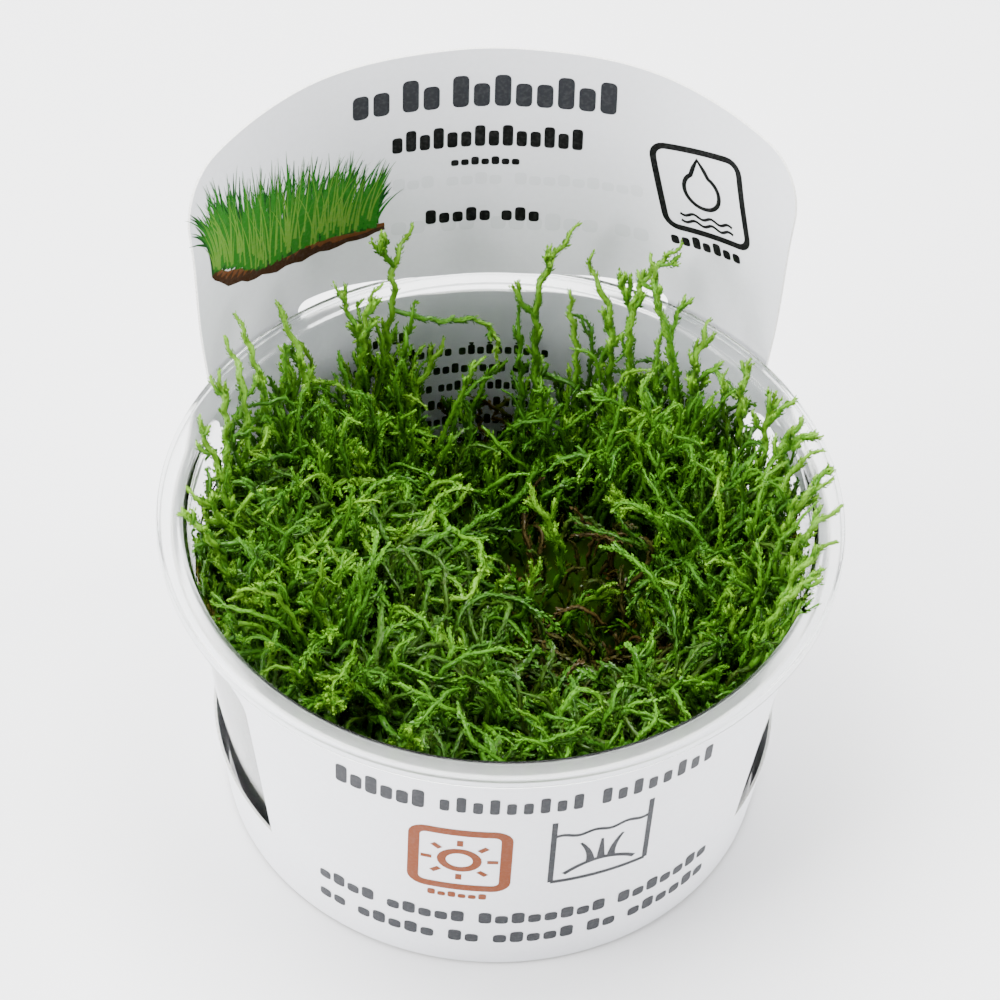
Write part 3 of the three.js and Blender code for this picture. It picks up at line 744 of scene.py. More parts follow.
@dataclass
class CardSleeve:
    """The card around the cup, with a window in each side, a slot and the tab behind the rim."""

    thickness: float = 0.4
    bottom_radius: float = 40.96
    slope: float = 0.1312
    bottom_z: float = 0.4
    top_z: float = 53.9
    tab_half_angle: float = 55.9
    tab_half_width: float = 53.4
    tab_peak_z: float = 98.0
    tab_bow_radius: float = 233.0
    tab_corner_radius: float = 10.0
    tab_push_out: float = 2.84
    tab_push_angles: Span = (6.0, 31.0)
    tab_push_end: Span = (57.0, 74.0)
    tab_push_heights: Span = (43.0, 53.0)
    tab_ease_heights: Span = (60.0, 84.0)
    tab_ease_share: float = 0.5
    slot_half_angle: float = 34.0
    slot_middle_z: float = 55.0
    slot_half_height: float = 1.8
    window_back_angle: float = 55.4
    window_front_angle: float = 126.1
    window_bottom_z: float = 13.4
    window_top_z: float = 48.5
    window_corner: float = 4.2
    angle_step: float = 1.5
    height_step: float = 1.7
    bend_step: float = 0.7
    net_clearance: float = 0.55
    seam_reach: float = 1e-4

    def inner_radius(self, angle: Any, z: Any) -> Any:
        """Give the radius of the card's inner face.

        Args:
            angle: Degrees from the back.
            z: Height.

        Returns:
            The radius, which is larger where the tab is bent out past the rim.
        """
        side = np.abs(angle)
        out = ramp(*self.tab_push_angles, side) * (1.0 - ramp(*self.tab_push_end, side))
        eased = 1.0 - self.tab_ease_share * ramp(*self.tab_ease_heights, z)
        out = out * ramp(*self.tab_push_heights, z) * eased
        return self.bottom_radius + self.slope * np.asarray(z, float) + self.tab_push_out * out

    def _edge_spots(self) -> list[Spot]:
        """Walk over the tab's top edge, from right to left.

        Returns:
            Angles and heights.
        """
        corner_x = self.tab_half_width - self.tab_corner_radius
        bow_z = self.tab_peak_z - self.tab_bow_radius
        arm = self.tab_bow_radius - self.tab_corner_radius
        meet = math.degrees(math.acos(corner_x / arm))
        corner_z = bow_z + arm * math.sin(math.radians(meet))
        radius, bow_radius = self.tab_corner_radius, self.tab_bow_radius
        edge = self._arc(corner_x, corner_z, radius, radius, np.linspace(0, meet, 14))
        edge += self._arc(0.0, bow_z, bow_radius, bow_radius, np.linspace(meet, 90, 32)[1:])
        right = [(x * self.tab_half_angle / self.tab_half_width, z) for x, z in edge]
        return right + [(-angle, z) for angle, z in reversed(right[:-1])]

    @staticmethod
    def _arc(across: float, z: float, wide: float, high: float, turns: Sequence[float]) -> list[Spot]:
        """Give points of an ellipse about a place and a height, at turns in degrees."""
        return [(across + wide * math.cos(t), z + high * math.sin(t)) for t in np.radians(turns)]

    def _window(self, side: float) -> list[Spot]:
        """Draw the outline of one side window.

        Args:
            side: 1 for the right and -1 for the left.

        Returns:
            Angles and heights.
        """
        wide = math.degrees(self.window_corner / (self.bottom_radius + self.slope * self.window_top_z))
        z = self.window_top_z - self.window_corner
        back, front = self.window_back_angle, self.window_front_angle
        outline = [(back, self.window_bottom_z), (front, self.window_bottom_z)]
        outline += self._arc(front - wide, z, wide, self.window_corner, np.linspace(0, 90, 7))
        outline += self._arc(back + wide, z, wide, self.window_corner, np.linspace(90, 180, 7))
        return [(side * angle, height) for angle, height in outline]

    def _slot(self) -> list[Spot]:
        """Draw the outline of the slot that the rim passes through.

        Returns:
            Angles and heights.
        """
        z, high = self.slot_middle_z, self.slot_half_height
        wide = math.degrees(high / (self.bottom_radius + self.slope * z))
        reach = self.slot_half_angle - wide
        right = self._arc(reach, z, wide, high, np.linspace(-90, 90, 11))
        return right + self._arc(-reach, z, wide, high, np.linspace(90, 270, 11))

    def _outside(self) -> list[Spot]:
        """Draw the outer outline of the card, cut open at the front and laid flat.

        Returns:
            Angles and heights.
        """
        half = self.tab_half_angle
        return [(-180.0, self.bottom_z), (180.0, self.bottom_z), (180.0, self.top_z), (half, self.top_z),
                *self._edge_spots(), (-half, self.top_z), (-180.0, self.top_z)]

    def _fine(self, outline: Sequence[Spot]) -> np.ndarray:
        """Put more points on a closed outline, so that no step is long.

        Args:
            outline: Angles and heights.

        Returns:
            Angles and heights of shape (n, 2).
        """
        fine = []
        for here, there in zip(outline, [*outline[1:], outline[0]]):
            steps = max(abs(there[0] - here[0]) / self.angle_step, abs(there[1] - here[1]) / self.height_step)
            count = math.ceil(steps - TINY)
            for share in np.arange(count) / max(1, count):
                fine.append((here[0] + (there[0] - here[0]) * share, here[1] + (there[1] - here[1]) * share))
        return np.array(fine)

    @staticmethod
    def _within(spots: np.ndarray, outline: np.ndarray) -> np.ndarray:
        """Tell which spots lie inside an outline, by counting the edges that they pass.

        Args:
            spots: Angles and heights of shape (n, 2).
            outline: The outline in the same form.

        Returns:
            True or False for each spot.
        """
        inside = np.zeros(len(spots), bool)
        x, y = spots[:, 0], spots[:, 1]
        for (x0, y0), (x1, y1) in zip(outline, np.roll(outline, -1, axis=0)):
            if y0 != y1:
                crossing = ((y0 > y) != (y1 > y)) & (x < (x1 - x0) * (y - y0) / (y1 - y0) + x0)
                inside ^= crossing
        return inside

    def _flat_card(self) -> tuple[np.ndarray, np.ndarray]:
        """Triangulate the card laid flat.

        Returns:
            Angles and heights of shape (n, 2), and corner numbers of shape (m, 3).
        """
        shapes = (self._outside(), self._window(1), self._window(-1), self._slot())
        loops = [self._fine(shape) for shape in shapes]
        angles = np.arange(-180 + self.angle_step, 180, self.angle_step)
        low, high = self.tab_push_heights
        heights = np.concatenate([
            np.arange(self.bottom_z + self.height_step, low, self.height_step),
            np.arange(low, high, self.bend_step),
            np.arange(high, self.tab_peak_z, self.height_step),
        ])
        net = np.stack(np.meshgrid(angles, heights), -1).reshape(-1, 2)
        stretch = np.array([math.radians(self.bottom_radius), 1.0])
        outlines = np.concatenate(loops)
        away = np.full(len(net), np.inf)
        for spot in outlines:
            away = np.minimum(away, np.linalg.norm((net - spot) * stretch, axis=1))
        net = net[(away > self.net_clearance) & self._within(net, loops[0])]
        spots = np.concatenate([outlines, net])
        edges, start = [], 0
        for loop in loops:
            numbers = np.arange(len(loop))
            edges += [(start + a, start + (a + 1) % len(loop)) for a in numbers]
            start += len(loop)
        flat = [Vector(spot) for spot in spots * stretch]
        made = delaunay_2d_cdt(flat, edges, [], 0, TINY)
        spots = np.array([spot[:] for spot in made[0]]) / stretch
        faces = np.array([tuple(face) for face in made[2]])
        middles = spots[faces].mean(axis=1)
        kept = self._within(middles, loops[0])
        for loop in loops[1:]:
            kept &= ~self._within(middles, loop)
        return spots, faces[kept]

    def spot(self, angle: Any, z: Any, lift: Any) -> np.ndarray:
        """Place points on the card, lifted outwards from its inner face."""
        return around(angle, self.inner_radius(angle, z) + lift, z)

    def build(self, card: CoatedCard, edge: CutCard) -> bpy.types.Object:
        """Make the card as two faces and the cut edge between them.

        Args:
            card: The finish of both faces.
            edge: The finish of the cut edge.

        Returns:
            The sleeve.
        """
        spots, faces = self._flat_card()
        seam = {round(z, 3): k for k, (angle, z) in enumerate(spots) if abs(angle + 180) < self.seam_reach}
        same = np.arange(len(spots))
        for k, (angle, z) in enumerate(spots):
            if abs(angle - 180) < self.seam_reach:
                same[k] = seam[round(z, 3)]
        faces = same[faces]
        inner = self.spot(spots[:, 0], spots[:, 1], 0.0)
        outer = self.spot(spots[:, 0], spots[:, 1], self.thickness)
        sides = np.concatenate([faces[:, [0, 1]], faces[:, [1, 2]], faces[:, [2, 0]]])
        known = {tuple(side) for side in sides}
        open_sides = np.array([side for side in sides if (side[1], side[0]) not in known])
        a, b = open_sides[:, 0], open_sides[:, 1]
        count = len(spots)
        walls = np.concatenate([np.stack([a, b, b + count], 1), np.stack([a, b + count, a + count], 1)])
        sleeve = Surface()
        sleeve.add(np.concatenate([inner, outer]), np.concatenate([faces[:, ::-1], faces + count]), 0)
        sleeve.add(np.concatenate([inner, outer]), walls[:, ::-1], 1)
        finishes = [card.material(), edge.material()]
        return sleeve.build("card_sleeve", finishes, "white_card", ["sleeve"], sharp=40)


@dataclass
class Press:
    """Prints shapes on one side of the card, as thin films of ink.

    A shape is laid out in millimetres: x to the right of the side's middle as a reader sees it, and z
    up from the table.
    """

    sleeve: CardSleeve
    side: CardSide
    inks: list[Ink]
    bar_rounding: float = 0.32
    short_bar: float = 0.74
    frame_rounding: float = 0.14
    frame_step: float = 1.2
    film: Surface = field(default_factory=Surface)

    def _lay(self, flat: np.ndarray, triangles: np.ndarray, ink: Ink) -> None:
        """Carry a flat shape onto the card and add it to the film.

        Args:
            flat: Its corners as x and z.
            triangles: Corner numbers of shape (n, 3).
            ink: The ink.
        """
        middle, reading, outside = self.side.value
        radius = self.sleeve.bottom_radius + self.sleeve.slope * flat[:, 1]
        angle = middle + reading * np.degrees(flat[:, 0] / radius)
        angle = np.where(angle > 180.0, angle - 360.0, angle)
        lift = self.sleeve.thickness + ink.film if outside else -ink.film
        self.film.add(self.sleeve.spot(angle, flat[:, 1], lift), triangles, self.inks.index(ink))

    def fan(self, middle: Sequence[float], outline: np.ndarray, ink: Ink) -> None:
        """Print a small filled shape.

        Args:
            middle: A place in it from which all its edge is seen.
            outline: Its edge, of shape (n, 2).
            ink: The ink.
        """
        numbers = np.arange(len(outline))
        triangles = np.stack([np.full(len(outline), len(outline)), numbers, (numbers + 1) % len(outline)], 1)
        self._lay(np.vstack([outline, middle]), triangles, ink)

    def ribbon(self, path: Sequence[Sequence[float]], width: Any, ink: Ink, closed: bool = False) -> None:
        """Print a line of a width, with round joins where the path has fine steps.

        Args:
            path: Points along its middle.
            width: The width, one number or one for each point.
            ink: The ink.
            closed: Whether its end meets its start.
        """
        line = np.array(path, float)
        ahead = np.roll(line, -1, 0) - np.roll(line, 1, 0)
        if not closed:
            ahead[0], ahead[-1] = line[1] - line[0], line[-1] - line[-2]
        across = unit(ahead)[:, ::-1] * [-1.0, 1.0] * (np.broadcast_to(width, len(line)) / 2)[:, None]
        rails = np.stack([line + across, line - across], 1).reshape(-1, 2)
        steps = grid_triangles(len(line) + closed, 2, False) % len(rails)
        self._lay(rails, steps, ink)

    def pill(self, x: float, z: float, wide: float, high: float, ink: Ink, slant: float = 0.0) -> None:
        """Print a small bar with rounded corners.

        Args:
            x: Its middle's place across.
            z: Its middle's height.
            wide: Its width.
            high: Its height.
            ink: The ink.
            slant: How far it is turned, in degrees.
        """
        outline = self._box(wide, high, self.bar_rounding, 4)
        self.fan((x, z), self.turned(outline, slant) + [x, z], ink)

    @staticmethod
    def _box(wide: float, high: float, rounding: float, steps: int) -> np.ndarray:
        """Draw a box with rounded corners about the origin.

        Args:
            wide: Its width.
            high: Its height.
            rounding: The radius of its corners, as a share of its smaller side.
            steps: How many points a corner has.

        Returns:
            Points of shape (n, 2).
        """
        corner = rounding * min(wide, high)
        turns = np.radians([np.linspace(90 * k, 90 * k + 90, steps) for k in range(4)]).ravel()
        signs = np.repeat([[1, 1], [-1, 1], [-1, -1], [1, -1]], steps, axis=0)
        arcs = np.stack([np.cos(turns), np.sin(turns)], 1)
        return signs * [wide / 2 - corner, high / 2 - corner] + corner * arcs

    @staticmethod
    def turned(shape: np.ndarray, slant: float) -> np.ndarray:
        """Turn a flat shape about its origin by degrees."""
        c, s = math.cos(math.radians(slant)), math.sin(math.radians(slant))
        return np.asarray(shape, float) @ np.array([[c, s], [-s, c]])

    def line(
        self, groups: Sequence[int], left: float, right: float, low: float, high: float, ink: Ink,
        slant: float = 0.0, gap: float = 0.3, space: float = 1.1,
    ) -> None:
        """Print a row of bars in groups, in the place of a line of print.

        Args:
            groups: How many bars each group has.
            left: Where the row starts.
            right: Where it ends.
            low: The foot of the bars.
            high: The top of the tall bars.
            ink: The ink.
            slant: How far the row is turned, in degrees, about its left end.
            gap: The gap between bars, as a share of a bar's width.
            space: The space between groups, as a share of a bar's width.
        """
        count = sum(groups)
        total = count + gap * (count - len(groups)) + space * (len(groups) - 1)
        wide = (right - left) / total
        rise = math.tan(math.radians(slant))
        x, number = left, 0
        for group in groups:
            for _ in range(group):
                tall = (number * 7 + group) % 5 < 2
                top = high if tall else low + self.short_bar * (high - low)
                lift = (x + wide / 2 - left) * rise
                self.pill(x + wide / 2, (low + top) / 2 + lift, wide, top - low, ink, slant)
                x += wide * (1 + gap)
                number += 1
            x += wide * (space - gap)

    def rounded_frame(
        self, x: float, z: float, wide: float, high: float, stroke: float, ink: Ink, slant: float = 0.0
    ) -> None:
        """Print a rounded frame.

        Args:
            x: Its middle's place across.
            z: Its middle's height.
            wide: Its width, to the middle of the stroke.
            high: Its height in the same way.
            stroke: The width of the stroke.
            ink: The ink.
            slant: How far it is turned, in degrees.
        """
        outline = self._box(wide, high, self.frame_rounding, 6)
        fine = []
        for here, there in zip(outline, np.roll(outline, -1, axis=0)):
            steps = max(1, round(math.dist(here, there) / self.frame_step))
            fine += [here + (there - here) * k / steps for k in range(steps)]
        self.ribbon(self.turned(np.array(fine), slant) + [x, z], stroke, ink, closed=True)

    def build(self, name: str) -> bpy.types.Object:
        """Make the films of ink as one piece."""
        return self.film.build(name, [ink.material() for ink in self.inks], "white_card")


@dataclass
class SleevePrint:
    """The print on the sleeve: plain bars for the lines, and simple pictures in the print's colours."""

    sleeve: CardSleeve
    black: Ink = Ink("ink_black", (9, 9, 10))
    grey: Ink = Ink("ink_dark_grey", (40, 41, 45))
    # Painted shade: pale grey for the back print seen through the card against light from behind.
    ghost: Ink = Ink("ink_show_through", (224, 226, 230), 0.45, 0.02, 0.025)
    brown: Ink = Ink("ink_brown", (112, 50, 6))
    leaf: Ink = Ink("ink_leaf_green", (36, 104, 24), film=0.06)
    deep_leaf: Ink = Ink("ink_deep_green", (16, 66, 18), film=0.05)
    light_leaf: Ink = Ink("ink_light_green", (92, 134, 46), film=0.07)
    bark: Ink = Ink("ink_bark", (96, 56, 28))
    dark_bark: Ink = Ink("ink_dark_bark", (52, 30, 16), film=0.04)

    def front(self) -> bpy.types.Object:
        """Print the front panel: a heading, two small pictures and two lines.

        Returns:
            The print.
        """
        press = Press(self.sleeve, CardSide.FRONT, [self.grey, self.brown])
        press.line([6], -27.0, -13.6, 43.9, 48.6, self.grey)
        press.line([9, 8], -11.4, 29.6, 44.2, 48.3, self.grey, gap=0.7, space=2.0)
        self._sun_picture(press, -8.2, 30.6)
        press.line([6], -12.6, -4.0, 19.6, 21.2, self.brown)
        self._tank_picture(press, 12.4, 32.5)
        press.line([4, 5, 8, 7], -30.0, 32.6, 12.4, 15.6, self.grey, gap=0.26)
        press.line([2, 5, 2, 5, 2, 6], -30.0, 32.6, 6.6, 9.8, self.grey, gap=0.26)
        return press.build("front_print")

    def _sun_picture(self, press: Press, x: float, z: float) -> None:
        """Print a sun in a frame, as a sign for light.

        Args:
            press: The press of the front.
            x: The middle's place across.
            z: The middle's height.
        """
        press.rounded_frame(x, z, 13.4, 15.6, 1.7, self.brown)
        turns = np.radians(np.arange(0, 360, 15))
        disc = 2.6 * np.stack([np.cos(turns), np.sin(turns)], 1)
        press.ribbon(disc + [x, z], 1.3, self.brown, closed=True)
        for turn in np.radians(np.arange(0, 360, 45)):
            ray = np.outer([4.0, 4.8, 5.6], [math.cos(turn), math.sin(turn)])
            press.ribbon(ray + [x, z], 0.9, self.brown)

    def _tank_picture(self, press: Press, x: float, z: float) -> None:
        """Print an open tank with water and three blades on a mound.

        Args:
            press: The press of the front.
            x: The middle's place across.
            z: The middle's height.
        """
        wide, high = 14.6, 17.0
        side = np.linspace(0, 1, 12)[:, None]
        corners = np.array([[-1, 1], [-1, -1], [1, -1], [1, 1]]) * [wide / 2, high / 2] + [x, z]
        for start, end in zip(corners, corners[1:]):
            press.ribbon(start + side * (end - start), 0.85, self.grey)
        s = np.linspace(0, 1, 31)
        water = np.stack([x + wide * (s - 0.5), z + 4.4 + 0.35 * np.sin(6 * math.pi * s)], 1)
        press.ribbon(water, 0.7, self.grey)
        mound = [(x + 5.4 * s, z - 6.6 + 2.6 * (1 - s * s)) for s in np.linspace(-1, 1, 17)]
        press.ribbon(mound, 0.8, self.grey)
        for lean in (-1.0, 0.0, 1.0):
            blade = [(x + 1.6 * lean + 1.6 * lean * s * s, z - 4.0 + 5.6 * s) for s in np.linspace(0, 1, 9)]
            press.ribbon(blade, np.linspace(1.3, 0.4, 9), self.grey)

    def tab(self) -> bpy.types.Object:
        """Print the tab's front and the wall below it: heading, name, code, picture, sign and notes.

        Returns:
            The print.
        """
        inks = [self.grey, self.black, self.ghost, self.leaf, self.deep_leaf, self.light_leaf, self.bark,
                self.dark_bark]
        press = Press(self.sleeve, CardSide.TAB, inks)
        press.line([2, 2, 8], -20.0, 19.6, 87.8, 93.4, self.grey, gap=0.28, space=0.8)
        press.line([14], -14.0, 14.8, 80.6, 84.4, self.black, gap=0.32)
        press.line([7], -5.0, 5.4, 77.2, 78.7, self.black)
        press.line([5, 3], -8.8, 8.6, 66.8, 69.4, self.black)
        # Painted shade: pale grey copies of the back print, as it would show through the card against light
        # from behind.
        press.line([4, 4, 9], -16.0, 24.0, 73.6, 75.8, self.ghost, gap=0.2)
        press.line([2, 2, 6, 2], -14.0, 25.0, 65.2, 68.4, self.ghost, gap=0.2)
        self._plant_picture(press)
        press.rounded_frame(33.6, 78.6, 14.6, 14.4, 1.05, self.black, 12.0)
        self._drop_picture(press, 33.6, 78.6)
        press.line([7], 28.6, 40.6, 66.9, 69.0, self.black, slant=12.0)
        press.line([6], -18.4, -12.2, 45.2, 47.0, self.black)
        rows = ([5, 7, 10], [3, 5, 9, 4], [7, 4, 10, 3], [4, 8, 3, 6], [6, 3, 9, 5], [8, 5, 3, 7])
        for row, groups in enumerate(rows):
            z = 41.2 - 3.5 * row
            press.line(groups, -22.4, 10.8, z, z + 1.9, self.black, gap=0.35)
            press.line(groups[:2], 24.6, 39.0, z, z + 1.9, self.black, gap=0.35)
        return press.build("tab_print")

    def _drop_picture(self, press: Press, x: float, z: float) -> None:
        """Print the outline of a drop of water over two ripples.

        Args:
            press: The press of the tab.
            x: The middle's place across.
            z: The middle's height.
        """
        turns = np.radians(np.linspace(-60, 240, 26))
        bowl = np.stack([3.0 * np.cos(turns + math.pi), 0.4 + 3.0 * np.sin(turns + math.pi)], 1)
        drop = np.vstack([bowl, [[0.9, 4.3], [0.0, 5.8], [-0.9, 4.3]]])
        press.ribbon(press.turned(drop, 12.0) + [x, z], 0.7, self.black, closed=True)
        for low in (-4.4, -5.6):
            wave = [(4.6 * s, low + 0.3 * math.sin(3 * math.pi * s)) for s in np.linspace(-1, 1, 21)]
            press.ribbon(press.turned(np.array(wave), 12.0) + [x, z], 0.5, self.black)

    def _plant_picture(self, press: Press) -> None:
        """Print a broad clump of grass that fans out over a strip of soil.

        Args:
            press: The press of the tab.
        """
        rng = np.random.default_rng(5)
        route = ((-45.5, 74.0, 0), (-41.0, 70.0, 0), (-32.0, 67.0, 0), (-22.0, 66.4, 0), (-15.0, 67.4, 0))
        count = 24
        soil = smooth_route(route, count)[:, :2]
        swell = np.sin(np.linspace(0.15, math.pi - 0.15, count)) ** 0.5
        swell = swell * (1.0 + 0.2 * np.sin(np.arange(count) * 1.9))
        press.ribbon(soil + [0.0, -0.3], 3.0 * swell, self.dark_bark)
        press.ribbon(soil + [0.0, 0.2], 1.8 * swell, self.bark)
        share = np.linspace(0.0, 1.0, 7)
        layers = (
            (self.deep_leaf, 330, 0.92, 1.3), (self.leaf, 420, 1.0, 0.62), (self.light_leaf, 110, 1.04, 0.3),
        )
        for ink, blades, reach, width in layers:
            for _ in range(blades):
                spot = rng.uniform(-1.0, 1.0)
                lean = 0.45 * spot + rng.normal(0.0, 0.24)
                long = 17.0 * reach * (1.0 - 0.16 * spot) * (1.0 - 0.2 * spot * spot) * rng.uniform(0.4, 1.0)
                low = 66.8 + 6.5 * float(ramp(0.15, 1.0, -spot)) + rng.uniform(0.0, 3.4)
                x = -31.0 + 14.5 * spot + long * (0.25 * lean * share + 0.3 * lean * share**2)
                z = low + long * share * (1.0 - 0.24 * abs(lean) * share)
                press.ribbon(np.stack([x, z], 1), width * (1.04 - share), ink)

    def back(self) -> bpy.types.Object:
        """Print the lines on the tab's back, whose show-through is painted on the front in pale grey as
        painted shade.

        Returns:
            The print.
        """
        press = Press(self.sleeve, CardSide.BACK, [self.grey])
        press.line([4, 4, 9], -24.0, 16.0, 73.6, 75.8, self.grey, gap=0.2)
        press.line([2, 2, 6, 2], -25.0, 14.0, 65.2, 68.4, self.grey, gap=0.2)
        rows = ([6, 3, 8, 5], [4, 7, 3, 9], [8, 4, 6, 3], [5, 9, 4], [3, 6, 8, 4], [7, 5])
        for row, groups in enumerate(rows):
            z = 42.0 - 4.4 * row
            press.line(groups, -24.0, 24.0, z, z + 2.0, self.grey, gap=0.35)
        return press.build("back_print")


@dataclass
class Strands:
    """Thin shoots that all have the same number of points.

    Attributes:
        points: Places of shape (shoots, points, 3).
        stem: The radius of each stem.
        leafy_from: The share of its length from which each has leaves.
        leaf: The length of its leaves.
        vigour: Its freshness, from 0 for brown and old to 1 for bright tips.
    """

    points: np.ndarray
    stem: np.ndarray
    leafy_from: np.ndarray
    leaf: np.ndarray
    vigour: np.ndarray

    def frames(self) -> tuple[np.ndarray, np.ndarray, np.ndarray]:
        """Carry a frame along each shoot without twist.

        Returns:
            The directions along, to one side and across both, each of the points' shape.
        """
        along = unit(np.gradient(self.points, axis=1))
        side = np.empty_like(along)
        last = unit(np.cross(along[:, 0], [0.31, 0.95, 0.13]))
        for k in range(along.shape[1]):
            last = last - (last * along[:, k]).sum(-1, keepdims=True) * along[:, k]
            last = unit(last)
            side[:, k] = last
        return along, side, np.cross(along, side)

    def steps(self) -> np.ndarray:
        """Give the distances between the points of each shoot."""
        return np.linalg.norm(np.diff(self.points, axis=1), axis=2)

    def twisted(self, rng: np.random.Generator, reach: float, pitch: float) -> "Strands":
        """Wind each shoot loosely around its own line, as this moss twists while it grows.

        Args:
            rng: The source of their differences.
            reach: How far the shoot swings off its line.
            pitch: How long one turn is, on average.

        Returns:
            The wound shoots.
        """
        _, side, across = self.frames()
        steps = self.steps()
        run = np.concatenate([np.zeros((len(steps), 1)), np.cumsum(steps, axis=1)], axis=1)
        rate = rng.uniform(0.7, 1.3, (len(steps), 1)) * rng.choice([-1.0, 1.0], (len(steps), 1))
        turn = run * rate * FULL_TURN / pitch + rng.uniform(0.0, FULL_TURN, (len(steps), 1))
        swing = (reach * np.minimum(1.0, run / pitch))[..., None]
        swung = side * np.cos(turn)[..., None] + across * np.sin(turn)[..., None]
        return replace(self, points=self.points + swung * swing)


def between(values: np.ndarray, shoot: Any, step: np.ndarray) -> np.ndarray:
    """Read values along strands, between their points.

    Args:
        values: Values of shape (strands, points, 3).
        shoot: The strand of each reading.
        step: How many points along it each reading is.

    Returns:
        Values of shape (readings, 3).
    """
    low = np.minimum(step.astype(int), values.shape[1] - 2)
    part = (step - low)[:, None]
    return values[shoot, low] * (1 - part) + values[shoot, low + 1] * part


class MossPalette:
    """The colours of the moss, from dead stems to fresh tips."""

    STOPS = (0.0, 0.2, 0.42, 0.68, 1.0)
    COLOURS = ((72, 57, 24), (50, 69, 14), (48, 97, 12), (75, 130, 20), (116, 163, 42))

    @classmethod
    def colour(cls, freshness: np.ndarray) -> np.ndarray:
        """Give the linear colour at each freshness.

        Args:
            freshness: Values from 0 to 1.

        Returns:
            Colours with one more axis, of length 3.
        """
        stops = linear(cls.COLOURS)
        return np.stack([np.interp(freshness, cls.STOPS, stops[:, k]) for k in range(3)], -1)


